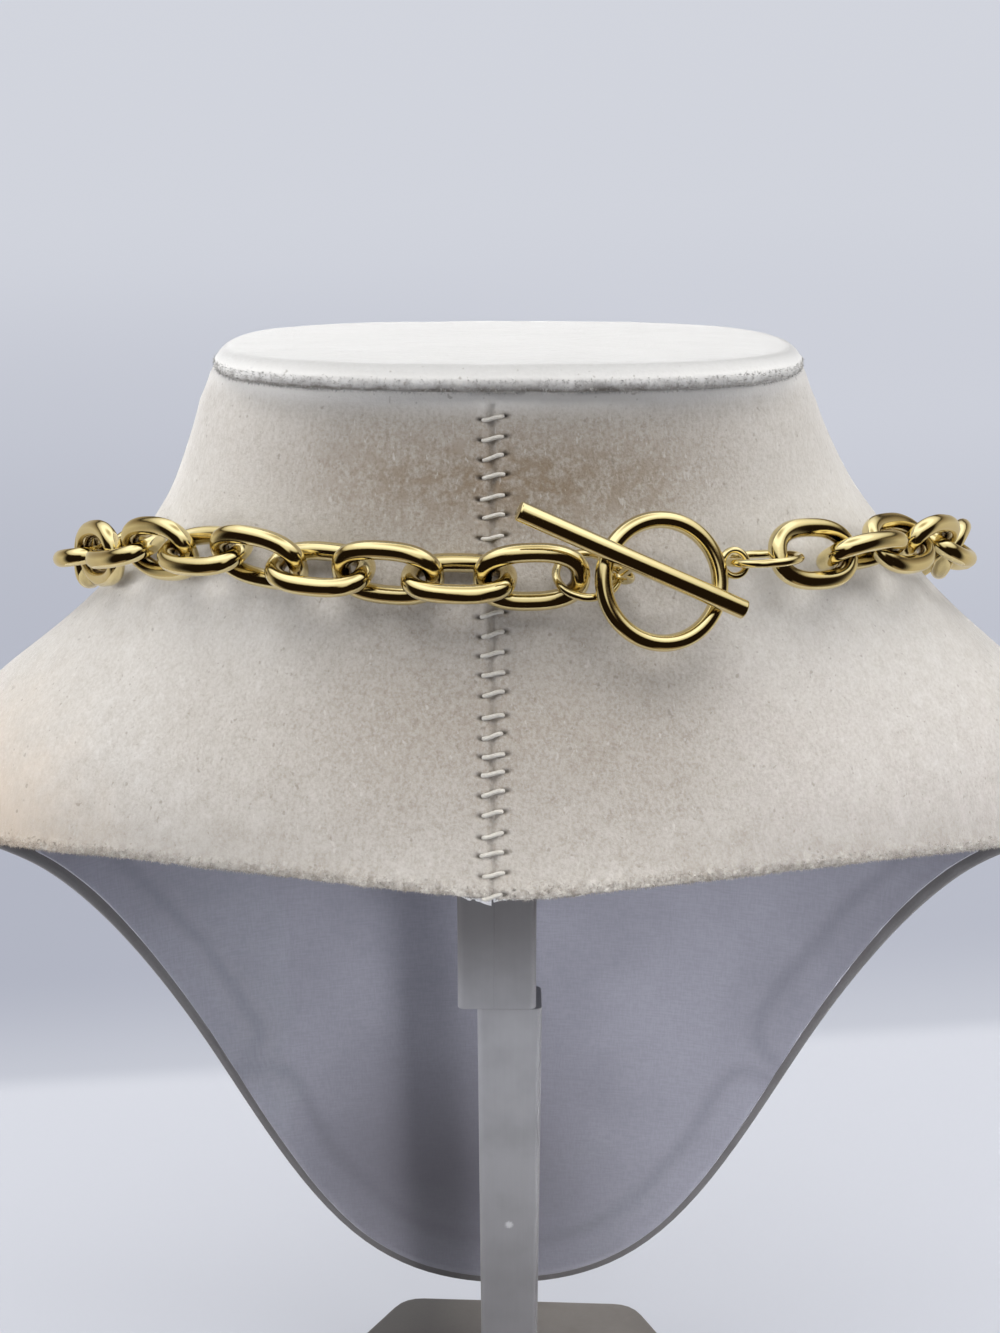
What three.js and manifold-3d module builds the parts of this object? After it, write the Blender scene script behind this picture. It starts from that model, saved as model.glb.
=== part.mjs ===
// A padlock necklace shown on a velvet neck bust.
// Millimetres, +Z up. The origin is the centre of the foot's underside, the chest faces -Y and
// the clasp lies at the nape, on the +Y side.
import * as THREE from 'three';
import Module from 'manifold-3d';
import { mergeVertices } from 'three/addons/utils/BufferGeometryUtils.js';

const wasm = await Module();
wasm.setup();

// ---- driving dimensions -------------------------------------------------------------------

const GAP = 0.3; // clearance between pieces that touch

// Padded form
const WALL = 3; // board, foam and velvet together
const AROUND = 56; // facets round the form
const DOWN = 18; // facets from the cap to the lower edge

// Cross-sections of the form, from below upwards. half is half the width, rear and front the
// depths behind and before the widest line, mid the Y of that line, lean a sideways shift, and the
// two powers are those of the superellipse at the back and the front.
const SECTIONS = [
  { height: 0, half: 92, rear: 78, front: 36, mid: -8, lean: 0, rearPower: 1.7, frontPower: 2 },
  { height: 60, half: 92, rear: 78, front: 46, mid: -8, lean: 0, rearPower: 1.7, frontPower: 2 },
  { height: 100, half: 92, rear: 77, front: 50, mid: -8, lean: 0, rearPower: 1.7, frontPower: 2 },
  { height: 120, half: 92, rear: 73, front: 50, mid: -8, lean: 0, rearPower: 1.7, frontPower: 2 },
  { height: 135, half: 91.5, rear: 65, front: 49, mid: -7.5, lean: -0.3, rearPower: 1.72, frontPower: 2 },
  { height: 141, half: 89.2, rear: 61, front: 48, mid: -6.5, lean: -0.5, rearPower: 1.75, frontPower: 2 },
  { height: 147, half: 84.4, rear: 57, front: 47, mid: -5, lean: -0.9, rearPower: 1.78, frontPower: 2 },
  { height: 153, half: 77, rear: 53.5, front: 46, mid: -4, lean: -1.3, rearPower: 1.8, frontPower: 2 },
  { height: 163, half: 66, rear: 47.5, front: 43.5, mid: -3, lean: -1.5, rearPower: 1.9, frontPower: 2 },
  { height: 175, half: 56.4, rear: 42, front: 40, mid: -2, lean: -1.2, rearPower: 2, frontPower: 2 },
  { height: 183, half: 51.3, rear: 39, front: 38, mid: -1.5, lean: -0.6, rearPower: 2.1, frontPower: 2.1 },
  { height: 194, half: 45.6, rear: 36.2, front: 36.5, mid: -1, lean: -0.2, rearPower: 2.2, frontPower: 2.2 },
  { height: 205, half: 44.6, rear: 36, front: 36, mid: -1, lean: 0, rearPower: 2.2, frontPower: 2.2 },
];

// Lower edge: the rear hem, the shoulder points and the long chest panel. turn is the angle in
// degrees from the back seam round to the middle of the chest; both sides are alike.
const EDGE = [
  { turn: 0, height: 133.9 },
  { turn: 15, height: 134.7 },
  { turn: 30, height: 134.4 },
  { turn: 45, height: 132.2 },
  { turn: 60, height: 128.3 },
  { turn: 75, height: 123.6 },
  { turn: 92, height: 117 },
  { turn: 108, height: 109 },
  { turn: 118, height: 101.5 },
  { turn: 129, height: 87.5 },
  { turn: 139.7, height: 67.4 },
  { turn: 150, height: 42.5 },
  { turn: 158, height: 25.5 },
  { turn: 166, height: 15.5 },
  { turn: 173, height: 11.4 },
  { turn: 180, height: 10.3 },
];

// Cap: an oval disc that slopes down towards the chest
const CAP_HALF_WIDTH = 45.4;
const CAP_HALF_DEPTH = 37.6;
const CAP_MIDDLE = -1;
const CAP_POWER = 2.2;
const CAP_THICKNESS = 3.6;
const CAP_ROUND = 1.4;
const CAP_FACETS = 48;
const CAP_GAP = 0.5;
const NECK_TOP = 198.2; // height of the neck's top plane over the origin
const CAP_SLOPE = 0.064; // rise of that plane for each millimetre towards the back

// Lining board inside the chest panel
const LINING = 1;
const LINING_GAP = 1.2;
const LINING_COLUMNS = 22; // as many of the form's facets, centred on the chest
const LINING_MARGIN = 1.6; // bare rim below it
const LINING_TOP = 150;

// Stand
const FOOT = { halfWidth: 45, halfSide: 22.5, halfDepth: 45, thickness: 6, corner: 4, turned: -3 };
const POST = { width: 10, depth: 9, widen: 0.07, offset: -0.35, shoulder: 92.2, corner: 1 };
const SOCKET = { width: 12.9, depth: 11.6, offset: 1.75, foot: 92.8, corner: 1.2 };
const SPIGOT = { width: 6.4, depth: 5.6, length: 26 };

// Chain
const LINK_COUNT = 39;
const LINK = { length: 16.2, width: 10.5, wire: 2.75, power: 2.5, steps: 16, sides: 6 };

// Line that the chain's middle follows over the form, from the link at the toggle bar round
// the +X side, the chest and the -X side to the link at the toggle ring. height is that of
// the point on the velvet below it, lift the distance off the velvet.
const ROUTE = [
  { turn: -1.8, height: 174.8, lift: 4.8 },
  { turn: 8.5, height: 174.6, lift: 4.7 },
  { turn: 18.2, height: 175, lift: 4.6 },
  { turn: 28.7, height: 174.8, lift: 4.6 },
  { turn: 39.8, height: 175.3, lift: 4.6 },
  { turn: 50.8, height: 174.3, lift: 4.6 },
  { turn: 64.7, height: 171.6, lift: 4.6 },
  { turn: 87, height: 165, lift: 4.6 },
  { turn: 106, height: 160.5, lift: 4.6 },
  { turn: 124, height: 156, lift: 4.6 },
  { turn: 142, height: 148, lift: 4.6 },
  { turn: 152.5, height: 138.7, lift: 4.6 },
  { turn: 161, height: 128.5, lift: 4.6 },
  { turn: 168, height: 120, lift: 4.6 },
  { turn: 174.5, height: 113.4, lift: 4.6 },
  { turn: 180, height: 111.5, lift: 4.6 },
  { turn: 185.5, height: 113.4, lift: 4.6 },
  { turn: 192, height: 120, lift: 4.6 },
  { turn: 199, height: 128.5, lift: 4.6 },
  { turn: 207.5, height: 138.7, lift: 5 },
  { turn: 218, height: 148, lift: 5.5 },
  { turn: 236, height: 156, lift: 5.8 },
  { turn: 254, height: 160.5, lift: 5.7 },
  { turn: 269, height: 164.6, lift: 5.7 },
  { turn: 279.8, height: 168, lift: 5.7 },
  { turn: 295.5, height: 172, lift: 5.6 },
  { turn: 304, height: 172.7, lift: 5.6 },
  { turn: 316.4, height: 174.5, lift: 5.6 },
];

// How far each odd link is turned about the chain, from flat on the velvet. Even links are
// turned a quarter turn further back.
const TWIST = [
  { link: 1, twist: 35 },
  { link: 4, twist: 43 },
  { link: 9, twist: 45 },
  { link: 20, twist: 45 },
  { link: 24, twist: 38 },
  { link: 30, twist: 2 },
  { link: 35, twist: -22 },
  { link: 37, twist: -15 },
  { link: 39, twist: -2 },
];

// Toggle clasp
const RING = { turn: -18.4, height: 173.5, lift: 7.5, radius: 8.5, wire: 2.4, lean: 3 };
const RING_EYE = { radius: 1.8, wire: 1, angle: 10 };
const BAR = { length: 34.8, wire: 2.76, side: -5.0, up: 2.8, fall: 26 };
const BAR_EYE = { radius: 1.9, wire: 1.2, stem: 1.56 };
const JUMP = { radius: 4.3, wire: 1.2, lean: 12 };
const BAR_JUMP = { turn: -9.3, height: 175, lift: 3.75, tilt: -40.5 };

// Padlock
const PENDANT_RING = { radius: 3.9, wire: 1.5 };
const SHACKLE = { width: 10.4, wire: 2.4, rise: 4.6, sink: 3.4 };
const LOCK = { width: 18, height: 16, depth: 5, corner: 3, bevel: 0.6, rest: 0.8 };
const KEYHOLE = { up: 1.6, round: 1.5, slot: 1.1, drop: 4.2, deep: 1.2 };

// ---- materials ----------------------------------------------------------------------------

const gold = new THREE.MeshStandardMaterial({ color: 0xc8aa54, roughness: 0.12, metalness: 1 });
const velvet = new THREE.MeshStandardMaterial({ color: 0xe0dad0, roughness: 0.95, metalness: 0 });
const board = new THREE.MeshStandardMaterial({ color: 0xa5a4b2, roughness: 0.6, metalness: 0 });
const plastic = new THREE.MeshStandardMaterial({ color: 0xc9c9cc, roughness: 0.45, metalness: 0 });

// ---- helpers ------------------------------------------------------------------------------

const radians = THREE.MathUtils.degToRad;
const vector = (x, y, z) => new THREE.Vector3(x, y, z);

// A smooth function through a table's rows, giving an object with the same columns.
function smooth(table, key) {
  const columns = Object.keys(table[0]).filter((name) => name !== key);
  const places = table.map((row) => row[key]);
  const values = table.flatMap((row) => columns.map((name) => row[name]));
  const curve = new THREE.CubicInterpolant(places, values, columns.length);
  return (place) => {
    const result = curve.evaluate(THREE.MathUtils.clamp(place, places[0], places.at(-1)));
    return Object.fromEntries(columns.map((name, i) => [name, result[i]]));
  };
}

const section = smooth(SECTIONS, 'height');
const edge = smooth(EDGE, 'turn');
const route = smooth(ROUTE, 'turn');
const twist = smooth(TWIST, 'link');

const signedPower = (value, power) => Math.sign(value) * Math.abs(value) ** power;

// Point of the velvet surface at a turn in degrees from the back seam and a height.
function skin(turn, height) {
  const s = section(height);
  const sine = Math.sin(radians(turn));
  const cosine = Math.cos(radians(turn));
  const atBack = cosine >= 0;
  const power = 2 / (atBack ? s.rearPower : s.frontPower);
  const depth = atBack ? s.rear : s.front;
  return vector(
    s.lean + s.half * signedPower(sine, power),
    s.mid + depth * signedPower(cosine, power),
    height,
  );
}

// Right-handed frame at a point off the velvet: x to the right of someone facing it, y up
// along it and z straight out of it.
function frameAt(turn, height, lift) {
  const step = 0.2;
  const x = skin(turn - step, height).sub(skin(turn + step, height)).normalize();
  const rise = skin(turn, height + step).sub(skin(turn, height - step));
  const z = x.clone().cross(rise).normalize();
  const y = z.clone().cross(x);
  const point = skin(turn, height).addScaledVector(z, lift);
  return new THREE.Matrix4().makeBasis(x, y, z).setPosition(point);
}

const neckTop = (y) => NECK_TOP + CAP_SLOPE * y;

function lowerEdge(turn) {
  const folded = Math.abs(THREE.MathUtils.euclideanModulo(turn + 180, 360) - 180);
  return edge(folded).height;
}

// Point of the form at a turn and a share of the way down from the neck's top plane, at a
// depth below the velvet.
function formPoint(turn, share, depth) {
  const top = neckTop(skin(turn, NECK_TOP).y);
  const height = THREE.MathUtils.lerp(top, lowerEdge(turn), share);
  const place = skin(turn, height);
  if (depth === 0) return place;
  const out = new THREE.Vector3().setFromMatrixColumn(frameAt(turn, height, 0), 2);
  out.z = share === 0 ? 0 : out.z * (1 - share);
  return place.addScaledVector(out.normalize(), -depth);
}

// Closed body between an outer and an inner sheet, both given as point(i, j) on a grid. A
// wrapped grid joins its last column to its first.
function slab(outer, inner, columns, rows, wrapped) {
  const positions = [];
  const count = wrapped ? columns : columns + 1;
  for (const sheet of [outer, inner]) {
    for (let i = 0; i < count; i += 1) {
      for (let j = 0; j <= rows; j += 1) positions.push(...sheet(i / columns, j / rows).toArray());
    }
  }
  const index = [];
  const at = (side, i, j) => side * count * (rows + 1) + (i % count) * (rows + 1) + j;
  const quad = (a, b, c, d) => index.push(a, c, b, a, d, c);
  for (let i = 0; i < columns; i += 1) {
    for (let j = 0; j < rows; j += 1) {
      quad(at(0, i, j), at(0, i, j + 1), at(0, i + 1, j + 1), at(0, i + 1, j));
      quad(at(1, i, j), at(1, i + 1, j), at(1, i + 1, j + 1), at(1, i, j + 1));
    }
    quad(at(0, i, 0), at(0, i + 1, 0), at(1, i + 1, 0), at(1, i, 0));
    quad(at(0, i, rows), at(1, i, rows), at(1, i + 1, rows), at(0, i + 1, rows));
  }
  if (!wrapped) {
    for (let j = 0; j < rows; j += 1) {
      quad(at(0, 0, j), at(1, 0, j), at(1, 0, j + 1), at(0, 0, j + 1));
      quad(at(0, columns, j), at(0, columns, j + 1), at(1, columns, j + 1), at(1, columns, j));
    }
  }
  const geometry = new THREE.BufferGeometry();
  geometry.setAttribute('position', new THREE.Float32BufferAttribute(positions, 3));
  geometry.setIndex(index);
  return geometry;
}

function mesh(name, geometry, material) {
  const made = new THREE.Mesh(geometry, material.clone());
  made.name = name;
  return made;
}

function placed(made, matrix) {
  matrix.decompose(made.position, made.quaternion, made.scale);
  return made;
}

function solid(geometry) {
  const bare = geometry.clone();
  bare.deleteAttribute('normal');
  bare.deleteAttribute('uv');
  const merged = mergeVertices(bare, 1e-4);
  return new wasm.Manifold(new wasm.Mesh({
    numProp: 3,
    vertProperties: new Float32Array(merged.attributes.position.array),
    triVerts: new Uint32Array(merged.index.array),
  }));
}

function fromSolid(body) {
  const result = body.getMesh();
  const geometry = new THREE.BufferGeometry();
  geometry.setAttribute('position', new THREE.Float32BufferAttribute(result.vertProperties, 3));
  geometry.setIndex([...result.triVerts]);
  return geometry;
}

function soldered(...pieces) {
  return fromSolid(pieces.map(solid).reduce((whole, piece) => whole.add(piece)));
}

function cut(body, ...tools) {
  return fromSolid(tools.map(solid).reduce((whole, tool) => whole.subtract(tool), solid(body)));
}

function roundedRectangle(width, depth, corner) {
  const x = width / 2;
  const y = depth / 2;
  const shape = new THREE.Shape();
  shape.moveTo(x, -y + corner);
  shape.lineTo(x, y - corner);
  shape.absarc(x - corner, y - corner, corner, 0, Math.PI / 2);
  shape.absarc(-x + corner, y - corner, corner, Math.PI / 2, Math.PI);
  shape.absarc(-x + corner, -y + corner, corner, Math.PI, 1.5 * Math.PI);
  shape.absarc(x - corner, -y + corner, corner, 1.5 * Math.PI, 2 * Math.PI);
  return shape;
}

function prism(shape, from, to, curveSegments = 3) {
  const options = { depth: to - from, bevelEnabled: false, curveSegments };
  return new THREE.ExtrudeGeometry(shape, options).translate(0, 0, from);
}

// Round rod between two points.
function rod(from, to, diameter, sides) {
  const radius = diameter / 2;
  const axis = to.clone().sub(from);
  const turn = new THREE.Quaternion().setFromUnitVectors(vector(0, 1, 0), axis.clone().normalize());
  const middle = from.clone().add(to).multiplyScalar(0.5);
  return new THREE.CylinderGeometry(radius, radius, axis.length(), sides)
    .applyQuaternion(turn)
    .translate(middle.x, middle.y, middle.z);
}

// ---- padded form --------------------------------------------------------------------------

function shell() {
  const sheet = (depth) => (u, v) => formPoint(u * 360, v, depth);
  return slab(sheet(0), sheet(WALL), AROUND, DOWN, true);
}

function cap() {
  const outline = [];
  const halfWidth = CAP_HALF_WIDTH - CAP_ROUND;
  const halfDepth = CAP_HALF_DEPTH - CAP_ROUND;
  for (let i = 0; i < CAP_FACETS; i += 1) {
    const angle = (2 * Math.PI * i) / CAP_FACETS;
    outline.push(new THREE.Vector2(
      halfWidth * signedPower(Math.cos(angle), 2 / CAP_POWER),
      CAP_MIDDLE + halfDepth * signedPower(Math.sin(angle), 2 / CAP_POWER),
    ));
  }
  const geometry = new THREE.ExtrudeGeometry(new THREE.Shape(outline), {
    depth: CAP_THICKNESS - 2 * CAP_ROUND,
    bevelThickness: CAP_ROUND,
    bevelSize: CAP_ROUND,
    bevelSegments: 3,
  });
  geometry.translate(0, 0, NECK_TOP + CAP_GAP + CAP_ROUND);
  const slope = new THREE.Matrix4().set(1, 0, 0, 0, 0, 1, 0, 0, 0, CAP_SLOPE, 1, 0, 0, 0, 0, 1);
  return geometry.applyMatrix4(slope);
}

// The lining covers the middle of the chest panel from its rim up into the hollow.
function lining() {
  const sheet = (depth) => (u, v) => {
    const turn = 180 + (LINING_COLUMNS / AROUND) * 360 * (u - 0.5);
    const top = neckTop(skin(turn, NECK_TOP).y);
    const bottom = lowerEdge(turn);
    const height = THREE.MathUtils.lerp(LINING_TOP, bottom + LINING_MARGIN, v);
    return formPoint(turn, (top - height) / (top - bottom), depth);
  };
  const depth = WALL + LINING_GAP;
  return slab(sheet(depth), sheet(depth + LINING), LINING_COLUMNS, 14, false);
}

// ---- stand --------------------------------------------------------------------------------

// Hexagon with rounded corners, its flat sides to the front and the back.
function foot() {
  const { halfWidth, halfSide, halfDepth, corner } = FOOT;
  const corners = [
    [halfWidth, 0], [halfSide, halfDepth], [-halfSide, halfDepth],
    [-halfWidth, 0], [-halfSide, -halfDepth], [halfSide, -halfDepth],
  ].map(([x, y]) => new THREE.Vector2(x, y));
  const shape = new THREE.Shape();
  corners.forEach((here, i) => {
    const before = corners.at(i - 1).clone().sub(here).setLength(corner).add(here);
    const after = corners[(i + 1) % corners.length].clone().sub(here).setLength(corner).add(here);
    if (i === 0) shape.moveTo(before.x, before.y);
    else shape.lineTo(before.x, before.y);
    shape.quadraticCurveTo(here.x, here.y, after.x, after.y);
  });
  return prism(shape, 0, FOOT.thickness, 4);
}

// The post widens slightly upwards and ends in a narrower spigot inside the socket.
function post() {
  const { width, depth, corner, shoulder, widen } = POST;
  const start = FOOT.thickness + GAP;
  const shaft = prism(roundedRectangle(width, depth, corner), start, shoulder);
  const place = shaft.attributes.position;
  for (let i = 0; i < place.count; i += 1) {
    const share = (place.getZ(i) - start) / (shoulder - start);
    place.setX(i, place.getX(i) * (1 + widen * (2 * share - 1)));
  }
  const spigot = roundedRectangle(SPIGOT.width, SPIGOT.depth, corner);
  return soldered(shaft, prism(spigot, shoulder - 1, shoulder + SPIGOT.length))
    .translate(POST.offset, 0, 0);
}

function socket() {
  const { width, depth, corner, foot: start, offset } = SOCKET;
  const end = neckTop(-depth / 2) - GAP;
  const body = prism(roundedRectangle(width, depth, corner), start, end).translate(offset, 0, 0);
  const hole = roundedRectangle(SPIGOT.width + 2 * GAP, SPIGOT.depth + 2 * GAP, corner);
  const bore = prism(hole, start - 1, POST.shoulder + SPIGOT.length + GAP);
  return cut(body, bore.translate(POST.offset, 0, 0));
}

// ---- chain --------------------------------------------------------------------------------

// Oval link: the ring of wire lies in the XY plane, long way along X.
function link() {
  const { length, width, wire, power, steps, sides } = LINK;
  const halfLength = (length - wire) / 2;
  const halfWidth = (width - wire) / 2;
  const point = (angle) => vector(
    halfLength * signedPower(Math.cos(angle), 2 / power),
    halfWidth * signedPower(Math.sin(angle), 2 / power),
    0,
  );
  const geometry = new THREE.TorusGeometry(length, wire / 2, sides, steps);
  const place = geometry.attributes.position;
  for (let i = 0; i < place.count; i += 1) {
    const angle = Math.atan2(place.getY(i), place.getX(i));
    const outward = Math.hypot(place.getX(i), place.getY(i)) - length;
    const ahead = point(angle + 0.01).sub(point(angle - 0.01)).normalize();
    const centre = point(angle);
    place.setX(i, centre.x + outward * ahead.y);
    place.setY(i, centre.y - outward * ahead.x);
  }
  return geometry;
}

const routePoints = [];
const ROUTE_STEPS = 240;
for (let i = 0; i <= ROUTE_STEPS; i += 1) {
  const turn = THREE.MathUtils.lerp(ROUTE[0].turn, ROUTE.at(-1).turn, i / ROUTE_STEPS);
  const { height, lift } = route(turn);
  const point = new THREE.Vector3().setFromMatrixPosition(frameAt(turn, height, lift));
  routePoints.push({ turn, height, point });
}
const travelled = [0];
for (let i = 1; i <= ROUTE_STEPS; i += 1) {
  travelled.push(travelled[i - 1] + routePoints[i].point.distanceTo(routePoints[i - 1].point));
}
const routeLength = travelled.at(-1);

// Place on the route at a distance along it: its point and its outward direction.
function along(distance) {
  const wanted = THREE.MathUtils.clamp(distance, 0, routeLength);
  const next = Math.max(1, travelled.findIndex((value) => value >= wanted));
  const share = (wanted - travelled[next - 1]) / (travelled[next] - travelled[next - 1]);
  const from = routePoints[next - 1];
  const to = routePoints[next];
  const frame = frameAt(
    THREE.MathUtils.lerp(from.turn, to.turn, share),
    THREE.MathUtils.lerp(from.height, to.height, share),
    0,
  );
  return {
    point: from.point.clone().lerp(to.point, share),
    out: new THREE.Vector3().setFromMatrixColumn(frame, 2),
  };
}

// Frame of a link: x along the chain, y its short way.
function linkFrame(number) {
  const pitch = routeLength / (LINK_COUNT - 1);
  const distance = (number - 1) * pitch;
  const { point, out } = along(distance);
  const reach = pitch / 2;
  const x = along(distance - reach).point.sub(along(distance + reach).point).normalize();
  const z = out.addScaledVector(x, -out.dot(x)).normalize();
  const turned = radians(twist(number).twist - 90 * ((number - 1) % 2));
  const y = z.clone().cross(x).multiplyScalar(Math.cos(turned)).addScaledVector(z, Math.sin(turned));
  return new THREE.Matrix4().makeBasis(x, y, x.clone().cross(y)).setPosition(point);
}

function chain() {
  const links = new THREE.Group();
  for (let number = 1; number <= LINK_COUNT; number += 1) {
    const name = `link_${String(number).padStart(2, '0')}`;
    links.add(placed(mesh(name, link(), gold), linkFrame(number)));
  }
  return links;
}

// ---- clasp --------------------------------------------------------------------------------

const hoop = (radius, wire, sides, steps) => new THREE.TorusGeometry(radius, wire / 2, sides, steps);

const ringFrame = frameAt(RING.turn, RING.height, RING.lift)
  .multiply(new THREE.Matrix4().makeRotationY(radians(RING.lean)));
const barJumpFrame = frameAt(BAR_JUMP.turn, BAR_JUMP.height, BAR_JUMP.lift)
  .multiply(new THREE.Matrix4().makeRotationX(radians(BAR_JUMP.tilt)));
const ringEyeReach = RING.radius + RING.wire / 2 + RING_EYE.radius - RING_EYE.wire / 2;

function toggleRing() {
  const eye = hoop(RING_EYE.radius, RING_EYE.wire, 6, 14)
    .translate(ringEyeReach, 0, 0)
    .rotateZ(radians(RING_EYE.angle));
  return soldered(hoop(RING.radius, RING.wire, 8, 36), eye);
}

// The bar lies across the front of the ring. Its stem and eye reach back through the ring to
// the near side of the jump ring.
function toggleBar() {
  const middle = vector(BAR.side, BAR.up, (RING.wire + BAR.wire) / 2 + GAP);
  const axis = vector(Math.cos(radians(BAR.fall)), -Math.sin(radians(BAR.fall)), 0);
  const half = axis.clone().multiplyScalar(BAR.length / 2);
  const bar = rod(middle.clone().sub(half), middle.clone().add(half), BAR.wire, 14);
  const caught = vector(JUMP.radius, 0, 0)
    .applyMatrix4(barJumpFrame)
    .applyMatrix4(ringFrame.clone().invert());
  const start = middle.clone().addScaledVector(axis, caught.clone().sub(middle).dot(axis));
  const eyeX = caught.clone().sub(start).normalize();
  const eyeZ = axis.clone().cross(eyeX).normalize();
  const eyeY = eyeZ.clone().cross(eyeX);
  const stem = rod(start, caught.clone().addScaledVector(eyeX, -BAR_EYE.radius), BAR_EYE.stem, 8);
  const eye = hoop(BAR_EYE.radius, BAR_EYE.wire, 6, 16)
    .applyMatrix4(new THREE.Matrix4().makeBasis(eyeX, eyeY, eyeZ).setPosition(caught));
  return soldered(bar, stem, eye);
}

// The second jump ring stands on edge and reaches from the toggle ring's eye into the last link.
function ringJump() {
  const eye = vector(ringEyeReach, 0, 0)
    .applyAxisAngle(vector(0, 0, 1), radians(RING_EYE.angle))
    .applyMatrix4(ringFrame);
  const lastFrame = linkFrame(LINK_COUNT);
  const linkEnd = vector(LINK.length / 2 - LINK.wire - GAP - JUMP.wire / 2, 0, 0);
  const ends = [linkEnd, linkEnd.clone().negate()].map((end) => end.applyMatrix4(lastFrame));
  const caught = ends[0].distanceTo(eye) < ends[1].distanceTo(eye) ? ends[0] : ends[1];
  const radius = caught.distanceTo(eye) / 2;
  const x = caught.sub(eye).normalize();
  const out = new THREE.Vector3().setFromMatrixColumn(ringFrame, 2);
  const y = out.addScaledVector(x, -out.dot(x)).normalize();
  const frame = new THREE.Matrix4()
    .makeBasis(x, y, x.clone().cross(y))
    .setPosition(eye.addScaledVector(x, radius))
    .multiply(new THREE.Matrix4().makeRotationX(radians(JUMP.lean)));
  return placed(mesh('ring_jump_ring', hoop(radius, JUMP.wire, 6, 22), gold), frame);
}

function clasp() {
  const group = new THREE.Group();
  group.add(
    placed(mesh('toggle_ring', toggleRing(), gold), ringFrame),
    placed(mesh('toggle_bar', toggleBar(), gold), ringFrame),
    placed(mesh('bar_jump_ring', hoop(JUMP.radius, JUMP.wire, 6, 22), gold), barJumpFrame),
    ringJump(),
  );
  return group;
}

// ---- padlock ------------------------------------------------------------------------------

// The padlock hangs from the lowest of the links whose lower side stands off the velvet.
const evenFrames = Array.from({ length: Math.floor(LINK_COUNT / 2) }, (_, i) => linkFrame(2 * i + 2));
const pendantFrame = evenFrames
  .reduce((lowest, frame) => (frame.elements[14] < lowest.elements[14] ? frame : lowest));

function padlock() {
  const group = new THREE.Group();
  const side = vector(0, (LINK.width - LINK.wire) / 2, 0);
  const arms = [side, side.clone().negate()].map((arm) => arm.applyMatrix4(pendantFrame));
  const arm = arms[0].z < arms[1].z ? arms[0] : arms[1];

  const drop = PENDANT_RING.radius - (PENDANT_RING.wire + LINK.wire) / 2 - GAP;
  const ringCentre = arm.clone().add(vector(0, 0, -drop));
  const ring = mesh('pendant_ring', hoop(PENDANT_RING.radius, PENDANT_RING.wire, 8, 22), gold);
  ring.position.copy(ringCentre);
  ring.rotation.y = Math.PI / 2;

  const hang = PENDANT_RING.radius - (PENDANT_RING.wire + SHACKLE.wire) / 2 - GAP;
  const lock = new THREE.Group();
  lock.position.copy(ringCentre).add(vector(0, 0, -hang));
  const bodyTop = -SHACKLE.width / 2 - SHACKLE.rise;
  const lowest = lock.position.z + bodyTop - LOCK.height;
  const rest = skin(180, lowest).y - LOCK.depth / 2 - LOCK.rest;
  lock.rotation.x = Math.atan2(rest - lock.position.y, lock.position.z - lowest);

  const half = SHACKLE.width / 2;
  const end = bodyTop - SHACKLE.sink;
  const bend = new THREE.CurvePath();
  bend.add(new THREE.LineCurve3(vector(-half, 0, end), vector(-half, 0, -half)));
  const arch = Array.from({ length: 9 }, (_, i) => {
    const angle = Math.PI - (Math.PI * i) / 8;
    return vector(half * Math.cos(angle), 0, -half + half * Math.sin(angle));
  });
  for (let i = 0; i < 8; i += 1) bend.add(new THREE.LineCurve3(arch[i], arch[i + 1]));
  bend.add(new THREE.LineCurve3(vector(half, 0, -half), vector(half, 0, end)));
  const round = new THREE.Shape().absarc(0, 0, SHACKLE.wire / 2, 0, 2 * Math.PI);
  const shackle = new THREE.ExtrudeGeometry(round, { steps: 24, curveSegments: 4, extrudePath: bend });

  const face = roundedRectangle(LOCK.width, LOCK.height, LOCK.corner);
  const block = new THREE.ExtrudeGeometry(face, {
    depth: LOCK.depth - 2 * LOCK.bevel,
    bevelThickness: LOCK.bevel,
    bevelSize: LOCK.bevel,
    bevelOffset: -LOCK.bevel,
    bevelSegments: 2,
    curveSegments: 4,
  });
  block.translate(0, 0, LOCK.bevel - LOCK.depth / 2).rotateX(Math.PI / 2);
  block.translate(0, 0, bodyTop - LOCK.height / 2);
  const socketWidth = SHACKLE.wire + 2 * GAP;
  const bores = [-half, half].map((x) => (
    rod(vector(x, 0, end - GAP), vector(x, 0, bodyTop + 1), socketWidth, 16)
  ));
  const front = -LOCK.depth / 2;
  const holeHeight = bodyTop - LOCK.height / 2 + KEYHOLE.up;
  const holeEnds = [front + KEYHOLE.deep, front - 1].map((y) => vector(0, y, holeHeight));
  const keyRound = rod(...holeEnds, 2 * KEYHOLE.round, 16);
  const keySlot = new THREE.BoxGeometry(KEYHOLE.slot, KEYHOLE.deep + 1, KEYHOLE.drop)
    .translate(0, front + (KEYHOLE.deep - 1) / 2, holeHeight - KEYHOLE.drop / 2);
  lock.add(
    mesh('padlock_shackle', shackle, gold),
    mesh('padlock_body', cut(block, ...bores, keyRound, keySlot), gold),
  );
  group.add(ring, lock);
  return group;
}

// ---- assembly -----------------------------------------------------------------------------

const bust = new THREE.Group();
bust.add(
  mesh('bust_shell', shell(), velvet),
  mesh('neck_cap', cap(), velvet),
  mesh('panel_lining', lining(), board),
);

const stand = new THREE.Group();
const basePlate = mesh('base_plate', foot(), plastic);
basePlate.rotation.z = radians(FOOT.turned);
stand.add(basePlate, mesh('post', post(), plastic), mesh('post_socket', socket(), plastic));

const necklace = new THREE.Group();
necklace.add(chain(), clasp(), padlock());

const object = new THREE.Group();
object.add(bust, stand, necklace);

export default object;
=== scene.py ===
"""Padlock necklace on a neck bust: oval-link chain, toggle clasp and padlock on a velvet form."""

import math
import random

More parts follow.
